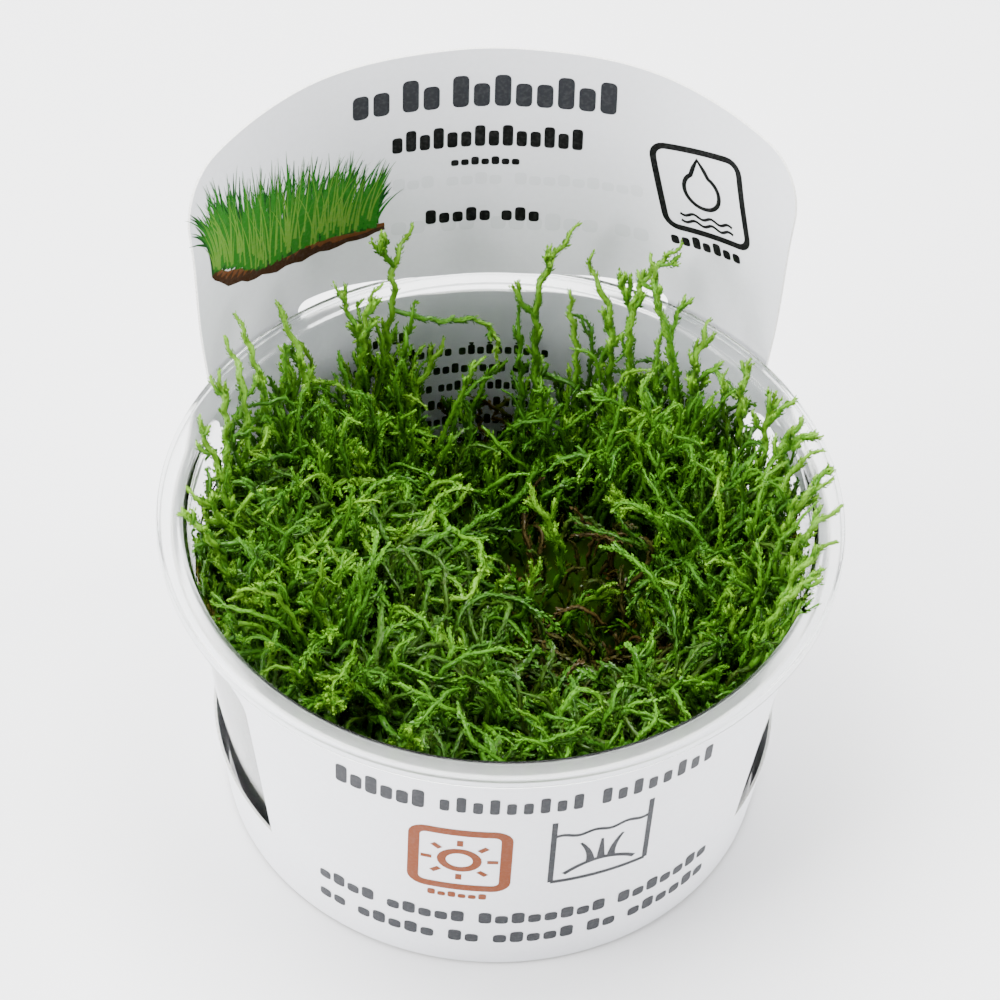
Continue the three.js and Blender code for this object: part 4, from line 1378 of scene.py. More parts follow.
@dataclass
class MossBuilder:
    """Turns strands into stems and leaves on one surface, kept inside the cup.

    Attributes:
        cup: The cup that the moss stands in.
        rng: The source of the small differences between leaves.
        leaves_per_mm: How many leaves stand on each millimetre of a leafy stem.
        spread: How far a leaf opens from the stem, in degrees.
        knot: How long one swelling of the leaves along a stem is.
    """

    cup: ClearCup
    rng: np.random.Generator
    leaves_per_mm: float = 5.0
    spread: float = 25.0
    knot: float = 2.3
    surface: Surface = field(default_factory=Surface)

    def add(self, strands: Strands, sides: int) -> None:
        """Add the stems and leaves of some strands.

        Args:
            strands: The strands.
            sides: How many sides their stems have.
        """
        along, side, across = strands.frames()
        self._stems(strands, side, across, sides)
        self._leaves(strands, along, side, across)

    def _stems(self, strands: Strands, side: np.ndarray, across: np.ndarray, sides: int) -> None:
        """Add a tapered tube for each strand.

        Args:
            strands: The strands.
            side: The directions to one side of them.
            across: The directions across both.
            sides: How many sides a tube has.
        """
        shoots, count, _ = strands.points.shape
        share = np.linspace(0.0, 1.0, count)
        radius = strands.stem[:, None] * (1.0 - 0.5 * ramp(0.85, 1.0, share)) * (1.06 - 0.12 * share)
        radius = radius * self.rng.uniform(0.84, 1.16, radius.shape)
        turn = np.arange(sides) * FULL_TURN / sides
        ring = side[:, :, None] * np.cos(turn)[:, None] + across[:, :, None] * np.sin(turn)[:, None]
        corners = strands.points[:, :, None] + ring * radius[:, :, None, None]
        one = grid_triangles(count, sides, True)
        caps = np.array([[0, k + 1, k] for k in range(1, sides - 1)])
        end = (count - 1) * sides
        one = np.concatenate([one, caps, caps[:, ::-1] + end])
        triangles = one[None] + (np.arange(shoots) * count * sides)[:, None, None]
        fresh = strands.vigour[:, None] * (0.5 + 0.45 * share)
        colour = MossPalette.colour(np.clip(fresh, 0.0, 1.0))
        colours = np.repeat(colour[:, :, None], sides, axis=2) * 0.95
        kept = self.cup.keep_inside(corners.reshape(-1, 3))
        self.surface.add(kept, triangles.reshape(-1, 3), 0, True, colours.reshape(-1, 3))

    def _leaves(self, strands: Strands, along: np.ndarray, side: np.ndarray, across: np.ndarray) -> None:
        """Add folded pointed leaves in a close spiral along each strand.

        Args:
            strands: The strands.
            along: The directions along them.
            side: The directions to one side.
            across: The directions across both.
        """
        leafy = strands.steps().sum(1) * (1.0 - strands.leafy_from)
        counts = np.maximum(4, (leafy * self.leaves_per_mm).astype(int))
        shoot = np.repeat(np.arange(len(counts)), counts)
        order = np.arange(len(shoot)) - np.repeat(np.cumsum(counts) - counts, counts)
        rank = (order + 0.5) / counts[shoot]
        share = strands.leafy_from[shoot] + (1.0 - strands.leafy_from[shoot]) * rank
        step = share * (strands.points.shape[1] - 1)
        ahead, right, up = (unit(between(values, shoot, step)) for values in (along, side, across))
        turn = order * GOLDEN_TURN + self.rng.normal(0.0, 0.3, len(shoot))
        out = right * np.cos(turn)[:, None] + up * np.sin(turn)[:, None]
        tip_share = ramp(0.9, 1.0, share)
        start = self.rng.uniform(0, 6.28, len(counts))[shoot]
        beat = np.sin(rank * leafy[shoot] * FULL_TURN / self.knot + start)
        wide = self.spread * (1.0 + 0.22 * beat) * (1.0 - 0.6 * tip_share)
        opening = np.radians(wide + self.rng.normal(0.0, 6.0, len(shoot)))
        blade = unit(ahead * np.cos(opening)[:, None] + out * np.sin(opening)[:, None])
        broad = unit(np.cross(ahead, out))
        fold = unit(np.cross(broad, blade))
        grown = (0.6 + 0.4 * ramp(0.0, 0.12, rank)) * (1.0 - 0.25 * tip_share) * (1.0 + 0.22 * beat)
        size = strands.leaf[shoot] * grown * self.rng.uniform(0.8, 1.2, len(shoot))
        half = size * self.rng.uniform(0.28, 0.36, len(shoot))
        foot = between(strands.points, shoot, step)
        foot = foot + out * (strands.stem[shoot] * (0.75 - 0.4 * tip_share))[:, None]
        middle = foot + blade * (0.42 * size)[:, None] + fold * (0.1 * size)[:, None]
        left, right_side = middle + broad * half[:, None], middle - broad * half[:, None]
        tip = foot + blade * size[:, None] + out * (self.rng.uniform(-0.02, 0.16, len(shoot)) * size)[:, None]
        corners = np.stack([foot, left, tip, right_side], 1)
        number = np.arange(len(shoot))[:, None, None] * 4
        triangles = np.array([[0, 1, 2], [0, 2, 3]])[None] + number
        fresh = strands.vigour[shoot] * (0.6 + 0.4 * ramp(0.35, 1.0, share))
        fresh = np.clip(fresh + self.rng.normal(0.0, 0.05, len(shoot)), 0.0, 1.0)
        # The freshness is the moss's own colour. On top of it, each leaf's foot by the stem is darkened to
        # 0.7 as painted shade, and its tip takes a lighter copy of the colour as painted light through the
        # leaf.
        base, lit = MossPalette.colour(fresh * 0.85), MossPalette.colour(np.minimum(1.0, fresh * 1.12))
        colours = np.stack([base * 0.7, (base + lit) / 2, lit, (base + lit) / 2], 1)
        kept = self.cup.keep_inside(corners.reshape(-1, 3))
        self.surface.add(kept, triangles.reshape(-1, 3), 0, False, colours.reshape(-1, 3))


def smooth_route(points: Sequence[Point], count: int) -> np.ndarray:
    """Draw a smooth curve through points and cut it into even steps.

    Args:
        points: The points that the curve goes through.
        count: How many points to give back.

    Returns:
        Points of shape (count, 3).
    """
    given = np.array(points, float)
    padded = np.vstack([2 * given[0] - given[1], given, 2 * given[-1] - given[-2]])
    dense = []
    for k in range(len(given) - 1):
        p0, p1, p2, p3 = padded[k:k + 4]
        t = np.linspace(0.0, 1.0, 12, endpoint=False)[:, None]
        start, end = 0.5 * (p2 - p0), 0.5 * (p3 - p1)
        dense.append((2 * t**3 - 3 * t**2 + 1) * p1 + (t**3 - 2 * t**2 + t) * start
                     + (-2 * t**3 + 3 * t**2) * p2 + (t**3 - t**2) * end)
    line = np.vstack([*dense, given[-1:]])
    reach = np.concatenate([[0.0], np.cumsum(np.linalg.norm(np.diff(line, axis=0), axis=1))])
    even = np.linspace(0.0, reach[-1], count)
    return np.stack([np.interp(even, reach, line[:, axis]) for axis in range(3)], 1)


@dataclass
class MatForm:
    """The height of the dense moss that fills the cup, with broad humps, a hollow and small tufts."""

    surface_z: float = 30.0
    humps: tuple[tuple[float, float, float, float], ...] = (
        (-34, -3, 10, 12), (-18, -19, 7, 10), (-28, 20, 7, 9), (38, -2, 12, 9), (27, -27, 8, 9),
        (30, 20, 8, 8), (0, -36, 6, 11), (0, 35, -3, 10), (13, -4, -13, 10),
    )
    tuft_count: int = 30
    tuft_reach: float = 39.0
    tuft_height: float = 4.0
    tuft_spread: float = 3.4

    def height(self, x: Any, y: Any) -> np.ndarray:
        """Give the height of the dense moss at places.

        Args:
            x: Places along X.
            y: Places along Y.

        Returns:
            The height at each place.
        """
        x, y = np.asarray(x, float), np.asarray(y, float)
        z = np.full(np.broadcast(x, y).shape, self.surface_z)
        for hump_x, hump_y, high, wide in self.humps:
            z = z + high * np.exp(-((x - hump_x) ** 2 + (y - hump_y) ** 2) / (2 * wide**2))
        for k in range(self.tuft_count):
            reach = self.tuft_reach * math.sqrt((k + 0.5) / self.tuft_count)
            tuft_x, tuft_y = reach * math.cos(k * GOLDEN_TURN), reach * math.sin(k * GOLDEN_TURN)
            away = (x - tuft_x) ** 2 + (y - tuft_y) ** 2
            z = z + self.tuft_height * np.exp(-away / (2 * self.tuft_spread**2))
        return z


def side_shoots(
    parents: Strands, rng: np.random.Generator, per_shoot: float, reach: Span,
    first: float = 0.45, points: int = 6,
) -> Strands:
    """Grow short side shoots, which leave their parents sideways and bend forwards like antlers.

    Args:
        parents: The shoots that they leave.
        rng: The source of their differences.
        per_shoot: How many each parent has on average.
        reach: The shortest and longest side shoot.
        first: The share of the parent from which they grow.
        points: How many points each has.

    Returns:
        The side shoots.
    """
    along, side, across = parents.frames()
    counts = rng.poisson(per_shoot, len(parents.stem))
    shoot = np.repeat(np.arange(len(counts)), counts)
    order = np.arange(len(shoot)) - np.repeat(np.cumsum(counts) - counts, counts)
    share = np.clip(first + (0.94 - first) * rng.random(len(shoot)) ** 0.7, 0.0, 0.95)
    place = (share * (parents.points.shape[1] - 1)).astype(int)
    plane = rng.uniform(0, FULL_TURN, len(counts))[shoot] + math.pi * (order % 2)
    plane = plane + rng.normal(0, 0.5, len(shoot))
    ahead = along[shoot, place]
    out = side[shoot, place] * np.cos(plane)[:, None] + across[shoot, place] * np.sin(plane)[:, None]
    long = rng.uniform(*reach, len(shoot)) * (1.1 - 0.4 * share)
    t = np.linspace(0.0, 1.0, points)[None, :, None]
    sweep = out[:, None] * (t - 0.42 * t**2) * 0.8 + ahead[:, None] * (0.55 * t + 0.35 * t**2)
    sweep = sweep + np.array([0.0, 0.0, 0.2]) * t**2
    bow = rng.normal(0.0, 0.16, (len(shoot), 1, 3)) * (t * (1 - t)) * 2
    line = parents.points[shoot, place][:, None] + (sweep + bow) * long[:, None, None]
    return Strands(
        line, parents.stem[shoot] * 0.8, np.full(len(shoot), 0.08), parents.leaf[shoot] * 0.9,
        np.clip(parents.vigour[shoot] * (0.9 + 0.15 * share), 0.0, 1.0),
    )


class Stand(Enum):
    """Where the feet of a thicket stand."""

    PATCH = "an ellipse about a middle"
    WALL = "a band along the cup's wall"


@dataclass(frozen=True)
class Thicket:
    """Many shoots that grow alike in one part of the cup.

    Attributes:
        name: Its name.
        stand: Where its feet stand.
        area: For a patch, the middle's x and y and the half widths. For a wall, the first and last
            angle from the back and the nearest and farthest radius.
        count: How many shoots it has.
        above: How far the lowest and highest tops are over the dense moss.
        wander: The least and most length that a shoot has beyond the way to its top.
        lean: How far the shoots lean out from the axis, or in if below 0.
        curl: How strongly they curl.
        drift: How strongly neighbours run the same way on top.
        vigour: The least and most freshness.
        leafy_from: The share of the length from which they have leaves.
        side_shoots: How many side shoots each has on average.
        stem: The least and most radius of a stem.
        depth: How far under the dense moss's top the feet are.
        clearance: How far the feet are off the wall at least.
        wall_gap: How far all else is off the wall at least.
        rim_rise: How far over the rim the shoots reach at most.
        bias: How much rarer tall and fresh shoots are than low and old ones, as an exponent.
        points: How many points each shoot has.
    """

    name: str
    stand: Stand
    area: tuple[float, float, float, float]
    count: int
    above: Span = (0.5, 5.0)
    wander: Span = (3.0, 14.0)
    lean: float = 0.1
    curl: float = 0.075
    drift: float = 0.1
    vigour: Span = (0.4, 0.9)
    leafy_from: float = 0.2
    side_shoots: float = 1.2
    stem: Span = (0.32, 0.46)
    depth: float = 8.0
    clearance: float = 1.3
    wall_gap: float = 1.0
    rim_rise: float = 3.5
    bias: float = 1.4
    points: int = 24

    def feet(self, rng: np.random.Generator) -> np.ndarray:
        """Choose the feet.

        Args:
            rng: The source of their differences.

        Returns:
            Places as x and y, of shape (n, 2).
        """
        a, b, c, d = self.area
        if self.stand is Stand.WALL:
            angle = rng.uniform(min(a, b), max(a, b), self.count)
            return around(angle, rng.uniform(c, d, self.count), 0.0)[:, :2]
        turn = rng.uniform(0.0, FULL_TURN, self.count)
        reach = np.sqrt(rng.random(self.count))
        return np.stack([a + c * reach * np.cos(turn), b + d * reach * np.sin(turn)], 1)

    def grow(self, mat: MatForm, cup: ClearCup, rng: np.random.Generator) -> Strands:
        """Grow the shoots out of the dense moss, up to its top and then curling over it.

        Args:
            mat: The dense moss that they grow from.
            cup: The cup that holds them.
            rng: The source of their differences.

        Returns:
            The shoots.
        """
        feet = self.feet(rng)
        radius = np.maximum(np.linalg.norm(feet, axis=1, keepdims=True), TINY)
        foot_z = mat.height(feet[:, 0], feet[:, 1]) - self.depth
        feet = feet * np.minimum(1.0, (cup.inner_radius(foot_z)[:, None] - self.clearance) / radius)
        above = self.above[0] + (self.above[1] - self.above[0]) * rng.random(self.count) ** self.bias
        climb = self.depth + above
        length = climb * rng.uniform(1.0, 1.15, self.count) + rng.uniform(*self.wander, self.count)
        step = (length / (self.points - 1))[:, None]
        outward = np.concatenate([feet / radius, np.zeros((self.count, 1))], 1)
        heading = unit(outward * self.lean + rng.normal(0.0, 0.25, (self.count, 3)) * [1, 1, 0.2] + [0, 0, 1])
        bend = np.zeros((self.count, 3))
        place = np.concatenate([feet, foot_z[:, None]], 1)
        line = [place]
        for _ in range(1, self.points):
            here = mat.height(place[:, 0], place[:, 1]) + above
            bend = 0.87 * bend + self.curl * rng.normal(0.0, 1.0, (self.count, 3))
            rise = np.clip((here - 1.0 - place[:, 2]) / 5.0, -1.0, 1.0)[:, None]
            pull = np.array([0.0, 0.0, 0.3]) * rise + outward * 0.05 * self.lean
            pull = pull + self.drift * self._stream(place) * (1.0 - np.abs(rise))
            heading = unit(heading + (bend + pull) * step)
            place = self._held(place + heading * step, cup)
            line.append(place)
        share = rng.random(self.count) ** self.bias
        vigour = self.vigour[0] + (self.vigour[1] - self.vigour[0]) * share
        return Strands(
            np.stack(line, 1), rng.uniform(*self.stem, self.count), np.full(self.count, self.leafy_from),
            rng.uniform(0.6, 0.82, self.count), vigour,
        )

    @staticmethod
    def _stream(place: np.ndarray) -> np.ndarray:
        """Give a level direction that changes slowly from place to place.

        Args:
            place: Places of shape (n, 3).

        Returns:
            Directions of the same shape.
        """
        x, y = place[:, 0], place[:, 1]
        turn = 2.2 * np.sin(x / 5.3 + 1.1) + 1.9 * np.sin(y / 6.1 - 0.4) + 1.3 * np.sin((x + y) / 8.7)
        return np.stack([np.cos(turn), np.sin(turn), np.zeros(len(turn))], 1)

    def _held(self, place: np.ndarray, cup: ClearCup) -> np.ndarray:
        """Hold places off the cup's wall and not far over its rim.

        Args:
            place: Places of shape (n, 3).
            cup: The cup.

        Returns:
            The places, moved where they are beyond.
        """
        z = np.minimum(place[:, 2], cup.height + self.rim_rise)
        limit = cup.inner_radius(np.minimum(z, cup.wall_top_z)) - self.wall_gap
        share = np.minimum(1.0, limit / np.maximum(np.hypot(place[:, 0], place[:, 1]), TINY))
        return np.stack([place[:, 0] * share, place[:, 1] * share, z], 1)


THICKETS = (
    Thicket("left_wall_moss", Stand.WALL, (-52, -128, 27, 43.5), 220, (2.0, 19.0), (0, 6), 0.35, 0.055, 0.0,
            (0.5, 1.0), 0.2, 1.7, (0.34, 0.48)),
    Thicket("back_left_moss", Stand.WALL, (-16, -58, 26, 42.5), 165, (2.0, 23.0), (0, 5), 0.25, 0.05, 0.0,
            (0.5, 1.0), 0.25, 1.4, (0.32, 0.46)),
    Thicket("front_left_wall_moss", Stand.WALL, (-128, -180, 26, 43.5), 135, (1.0, 11.0), (4, 14), 0.1, 0.09,
            0.06, (0.34, 0.88), 0.15, 1.0, (0.37, 0.52)),
    Thicket("front_left_canopy", Stand.PATCH, (-17, -14, 19, 17), 120, (0.5, 9.0), (8, 24), 0.0, 0.1, 0.08,
            (0.32, 0.88), 0.1, 0.7, (0.38, 0.54)),
    Thicket("left_canopy", Stand.PATCH, (-22, 9, 13, 13), 90, (0.5, 12.0), (3, 14), 0.1, 0.08, 0.04,
            (0.35, 0.95), 0.15, 1.0, (0.37, 0.52)),
    Thicket("back_middle_moss", Stand.PATCH, (-7, 21, 16, 9), 75, (-4.0, 9.0), (0, 8), 0.0, 0.06, 0.0,
            (0.35, 0.9), 0.25),
    Thicket("back_wall_moss", Stand.WALL, (-20, 26, 28, 42.5), 88, (-7.0, 15.0), (0, 5), 0.1, 0.05, 0.0,
            (0.45, 0.95), 0.35, 1.0),
    Thicket("back_right_moss", Stand.WALL, (20, 66, 26, 42.5), 155, (2.0, 21.0), (0, 6), 0.25, 0.055, 0.0,
            (0.45, 1.0), 0.2, 1.6, (0.34, 0.48)),
    Thicket("right_wall_moss", Stand.WALL, (62, 122, 27, 43.5), 200, (2.0, 17.0), (0, 7), 0.4, 0.06, 0.0,
            (0.4, 1.0), 0.2, 1.8, (0.34, 0.48)),
    Thicket("front_right_wall_moss", Stand.WALL, (122, 180, 27, 43.5), 130, (0.5, 9.0), (3, 12), 0.15, 0.08,
            0.04, (0.3, 0.78), 0.2, 1.0, (0.34, 0.48)),
    Thicket("right_canopy", Stand.PATCH, (30, 1, 8, 15), 80, (0.0, 10.0), (2, 12), 0.15, 0.08, 0.03,
            (0.3, 0.9), 0.2, 1.2, (0.34, 0.48)),
    Thicket("hollow_moss", Stand.PATCH, (14, 1, 13, 15), 70, (-5.0, 7.0), (0, 9), 0.0, 0.07, 0.0,
            (0.0, 0.35), 0.3, 0.6, (0.3, 0.42), 5.0),
    Thicket("front_moss", Stand.PATCH, (5, -28, 18, 10), 90, (0.0, 7.0), (3, 15), 0.05, 0.09, 0.06,
            (0.32, 0.8), 0.2, 0.9, (0.37, 0.5)),
    Thicket("middle_moss", Stand.PATCH, (-8, 0, 10, 12), 60, (-1.0, 9.0), (2, 14), 0.0, 0.08, 0.05,
            (0.3, 0.76), 0.2, 0.9, (0.36, 0.5)),
)


@dataclass
class MossMat:
    """The tangle of old stems and leaves in the heart of the moss.

    Attributes:
        form: The height of the dense moss.
        cup: The cup that it fills.
        gap: How far its core stays off the wall, so that strands fit between.
        recess: How far its core stays under the dense moss's top, so that shoots fit between.
        wall_recess: The same beside the wall.
        edge_drop: How much lower its edge is.
        bottom_z: The height of its underside.
        foot_rise: The height of its rounded foot, and how far the foot goes in.
        strand_count: How many strands lie on the core's side.
        strand_rise: How far they reach over the dense moss's top, where its radius is strand_reach.
        window_angles: The angles from the back between which the card's windows show them.
        window_share: The share of them that stands there.
        crumb_count: How many short strands stand on its top.
        hollow: Where more of them stand, as x and y.
        hollow_reach: How far around that place they stand.
        hollow_share: The share of them that stands there.
        crumb_reach: How far from the axis the others stand.
        sectors: How many points a ring of the core has.
    """

    form: MatForm
    cup: ClearCup
    gap: float = 0.2
    recess: float = 8.0
    wall_recess: float = 1.0
    edge_drop: float = 1.5
    bottom_z: float = 1.2
    foot_rise: float = 2.0
    strand_count: int = 420
    strand_rise: float = 7.0
    strand_reach: float = 37.0
    window_angles: Span = (50.0, 132.0)
    window_share: float = 0.7
    crumb_count: int = 620
    hollow: Spot = (14.0, -4.0)
    hollow_reach: float = 14.0
    hollow_share: float = 0.5
    crumb_reach: float = 37.5
    sectors: int = 120

    def _core(self, surface: Surface, rng: np.random.Generator) -> None:
        """Add the lumpy core, whose colour is darkened with painted shade.

        Args:
            surface: Where it is gathered.
            rng: The source of its lumps.
        """
        turns = np.arange(self.sectors) * 360.0 / self.sectors
        reach = float(self.cup.inner_radius(self.form.surface_z)) - self.gap
        rings = []
        for share in np.append(np.linspace(0.02, 0.97, 34), 1.0):
            flat = around(turns, share * reach, 0.0)
            sunk = self.recess + (self.wall_recess - self.recess) * float(ramp(0.78, 0.96, share))
            sunk = sunk + self.edge_drop * float(ramp(0.94, 1.0, share))
            z = self.form.height(flat[:, 0], flat[:, 1]) - sunk
            rings.append(around(turns, share * (self.cup.inner_radius(z) - self.gap), z))
        top_edge = rings[-1][:, 2]
        foot_z = self.bottom_z + self.foot_rise
        for share in (0.86, 0.71, 0.57, 0.43, 0.29, 0.14, 0.0):
            z = foot_z + (top_edge - foot_z) * share
            rings.append(around(turns, self.cup.inner_radius(z) - self.gap, z))
        foot_radius = float(self.cup.inner_radius(self.bottom_z)) - self.gap - self.foot_rise
        rings.append(around(turns, foot_radius, self.bottom_z))
        grid = np.stack(rings)
        grid[1:-1] *= 1.0 - np.abs(rng.normal(0.0, 0.008, (len(grid) - 2, self.sectors, 1)))
        corners, triangles = capped_rings(grid, tuple(grid[0].mean(0)), (0.0, 0.0, self.bottom_z))
        heights = corners[:-2, 2]
        fresh = np.clip(0.1 + 0.008 * heights + rng.normal(0.0, 0.07, len(heights)), 0.0, 1.0)
        # Painted shade: the core's colour is halved, as it stands in the shade under the shoots. It is also
        # browner lower down.
        colours = MossPalette.colour(np.append(fresh, [0.15, 0.05])) * 0.5
        surface.add(corners, triangles, 0, True, colours)

    def _wall_strands(self, rng: np.random.Generator) -> Strands:
        """Run old stems up between the core and the wall.

        Args:
            rng: The source of their differences.

        Returns:
            The stems.
        """
        count, points = self.strand_count, 20
        share = np.linspace(0.0, 1.0, points)[None, :]
        start = rng.uniform(1.6, 26.0, (count, 1))
        open_side = rng.choice([-1.0, 1.0], (count, 1)) * rng.uniform(*self.window_angles, (count, 1))
        in_window = rng.random((count, 1)) < self.window_share
        first = np.where(in_window, open_side, rng.uniform(0.0, 360.0, (count, 1)))
        wall = around(first, self.strand_reach, 0.0)
        crest = self.form.height(wall[..., 0], wall[..., 1]) + self.strand_rise
        end = np.minimum(start + rng.uniform(14.0, 34.0, (count, 1)), crest)
        z = start + (end - start) * share
        angle = first + rng.normal(0.0, 9.0, (count, 1)) * share
        angle = angle + np.cumsum(rng.normal(0.0, 0.9, (count, points)), axis=1)
        off_wall = rng.uniform(0.5, 0.9, (count, 1)) + 0.2 * np.sin(6.0 * share + np.radians(angle * 9.0))
        vigour = rng.uniform(0.0, 0.45, count)
        return Strands(
            around(angle, self.cup.inner_radius(z) - off_wall, z), rng.uniform(0.3, 0.52, count),
            np.full(count, 0.15), rng.uniform(0.8, 1.2, count), vigour,
        )

    def _crumbs(self, rng: np.random.Generator) -> Strands:
        """Stand short old shoots on the core's top.

        Args:
            rng: The source of their differences.

        Returns:
            The shoots.
        """
        count, points = self.crumb_count, 8
        angle = rng.uniform(0.0, 360.0, count)
        feet = around(angle, np.sqrt(rng.random(count)), 0.0)
        in_hollow = (rng.random(count) < self.hollow_share)[:, None]
        feet = np.where(in_hollow, feet * self.hollow_reach + [*self.hollow, 0.0], feet * self.crumb_reach)
        feet[:, 2] = self.form.height(feet[:, 0], feet[:, 1]) - self.recess - 0.8
        heading = unit(rng.normal(0.0, 0.9, (count, 3)) + [0.0, 0.0, 0.9])
        t = np.linspace(0.0, 1.0, points)[None, :, None]
        bow = rng.normal(0.0, 2.0, (count, 1, 3))
        long = rng.uniform(4.0, 10.0, (count, 1, 1))
        line = feet[:, None] + heading[:, None] * t * long + bow * t * (1 - t)
        return Strands(
            line, rng.uniform(0.22, 0.34, count), np.full(count, 0.05), rng.uniform(0.8, 1.1, count),
            rng.uniform(0.02, 0.6, count),
        )

    def build(self, finish: bpy.types.Material, rng: np.random.Generator) -> bpy.types.Object:
        """Make the mat as one piece.

        Args:
            finish: The material of old moss.
            rng: The source of its differences.

        Returns:
            The mat.
        """
        moss = MossBuilder(self.cup, rng, leaves_per_mm=2.2)
        self._core(moss.surface, rng)
        moss.add(self._wall_strands(rng), sides=3)
        moss.add(self._crumbs(rng), sides=3)
        return moss.surface.build("moss_tangle", [finish], "moss_dark", ["moss_mat"])


@dataclass(frozen=True)
class Shoot:
    """One large shoot, with the points of its route from its foot to its tip and of its forks."""

    foot: Spot
    route: tuple[Point, ...]
    forks: tuple[tuple[Point, ...], ...] = ()


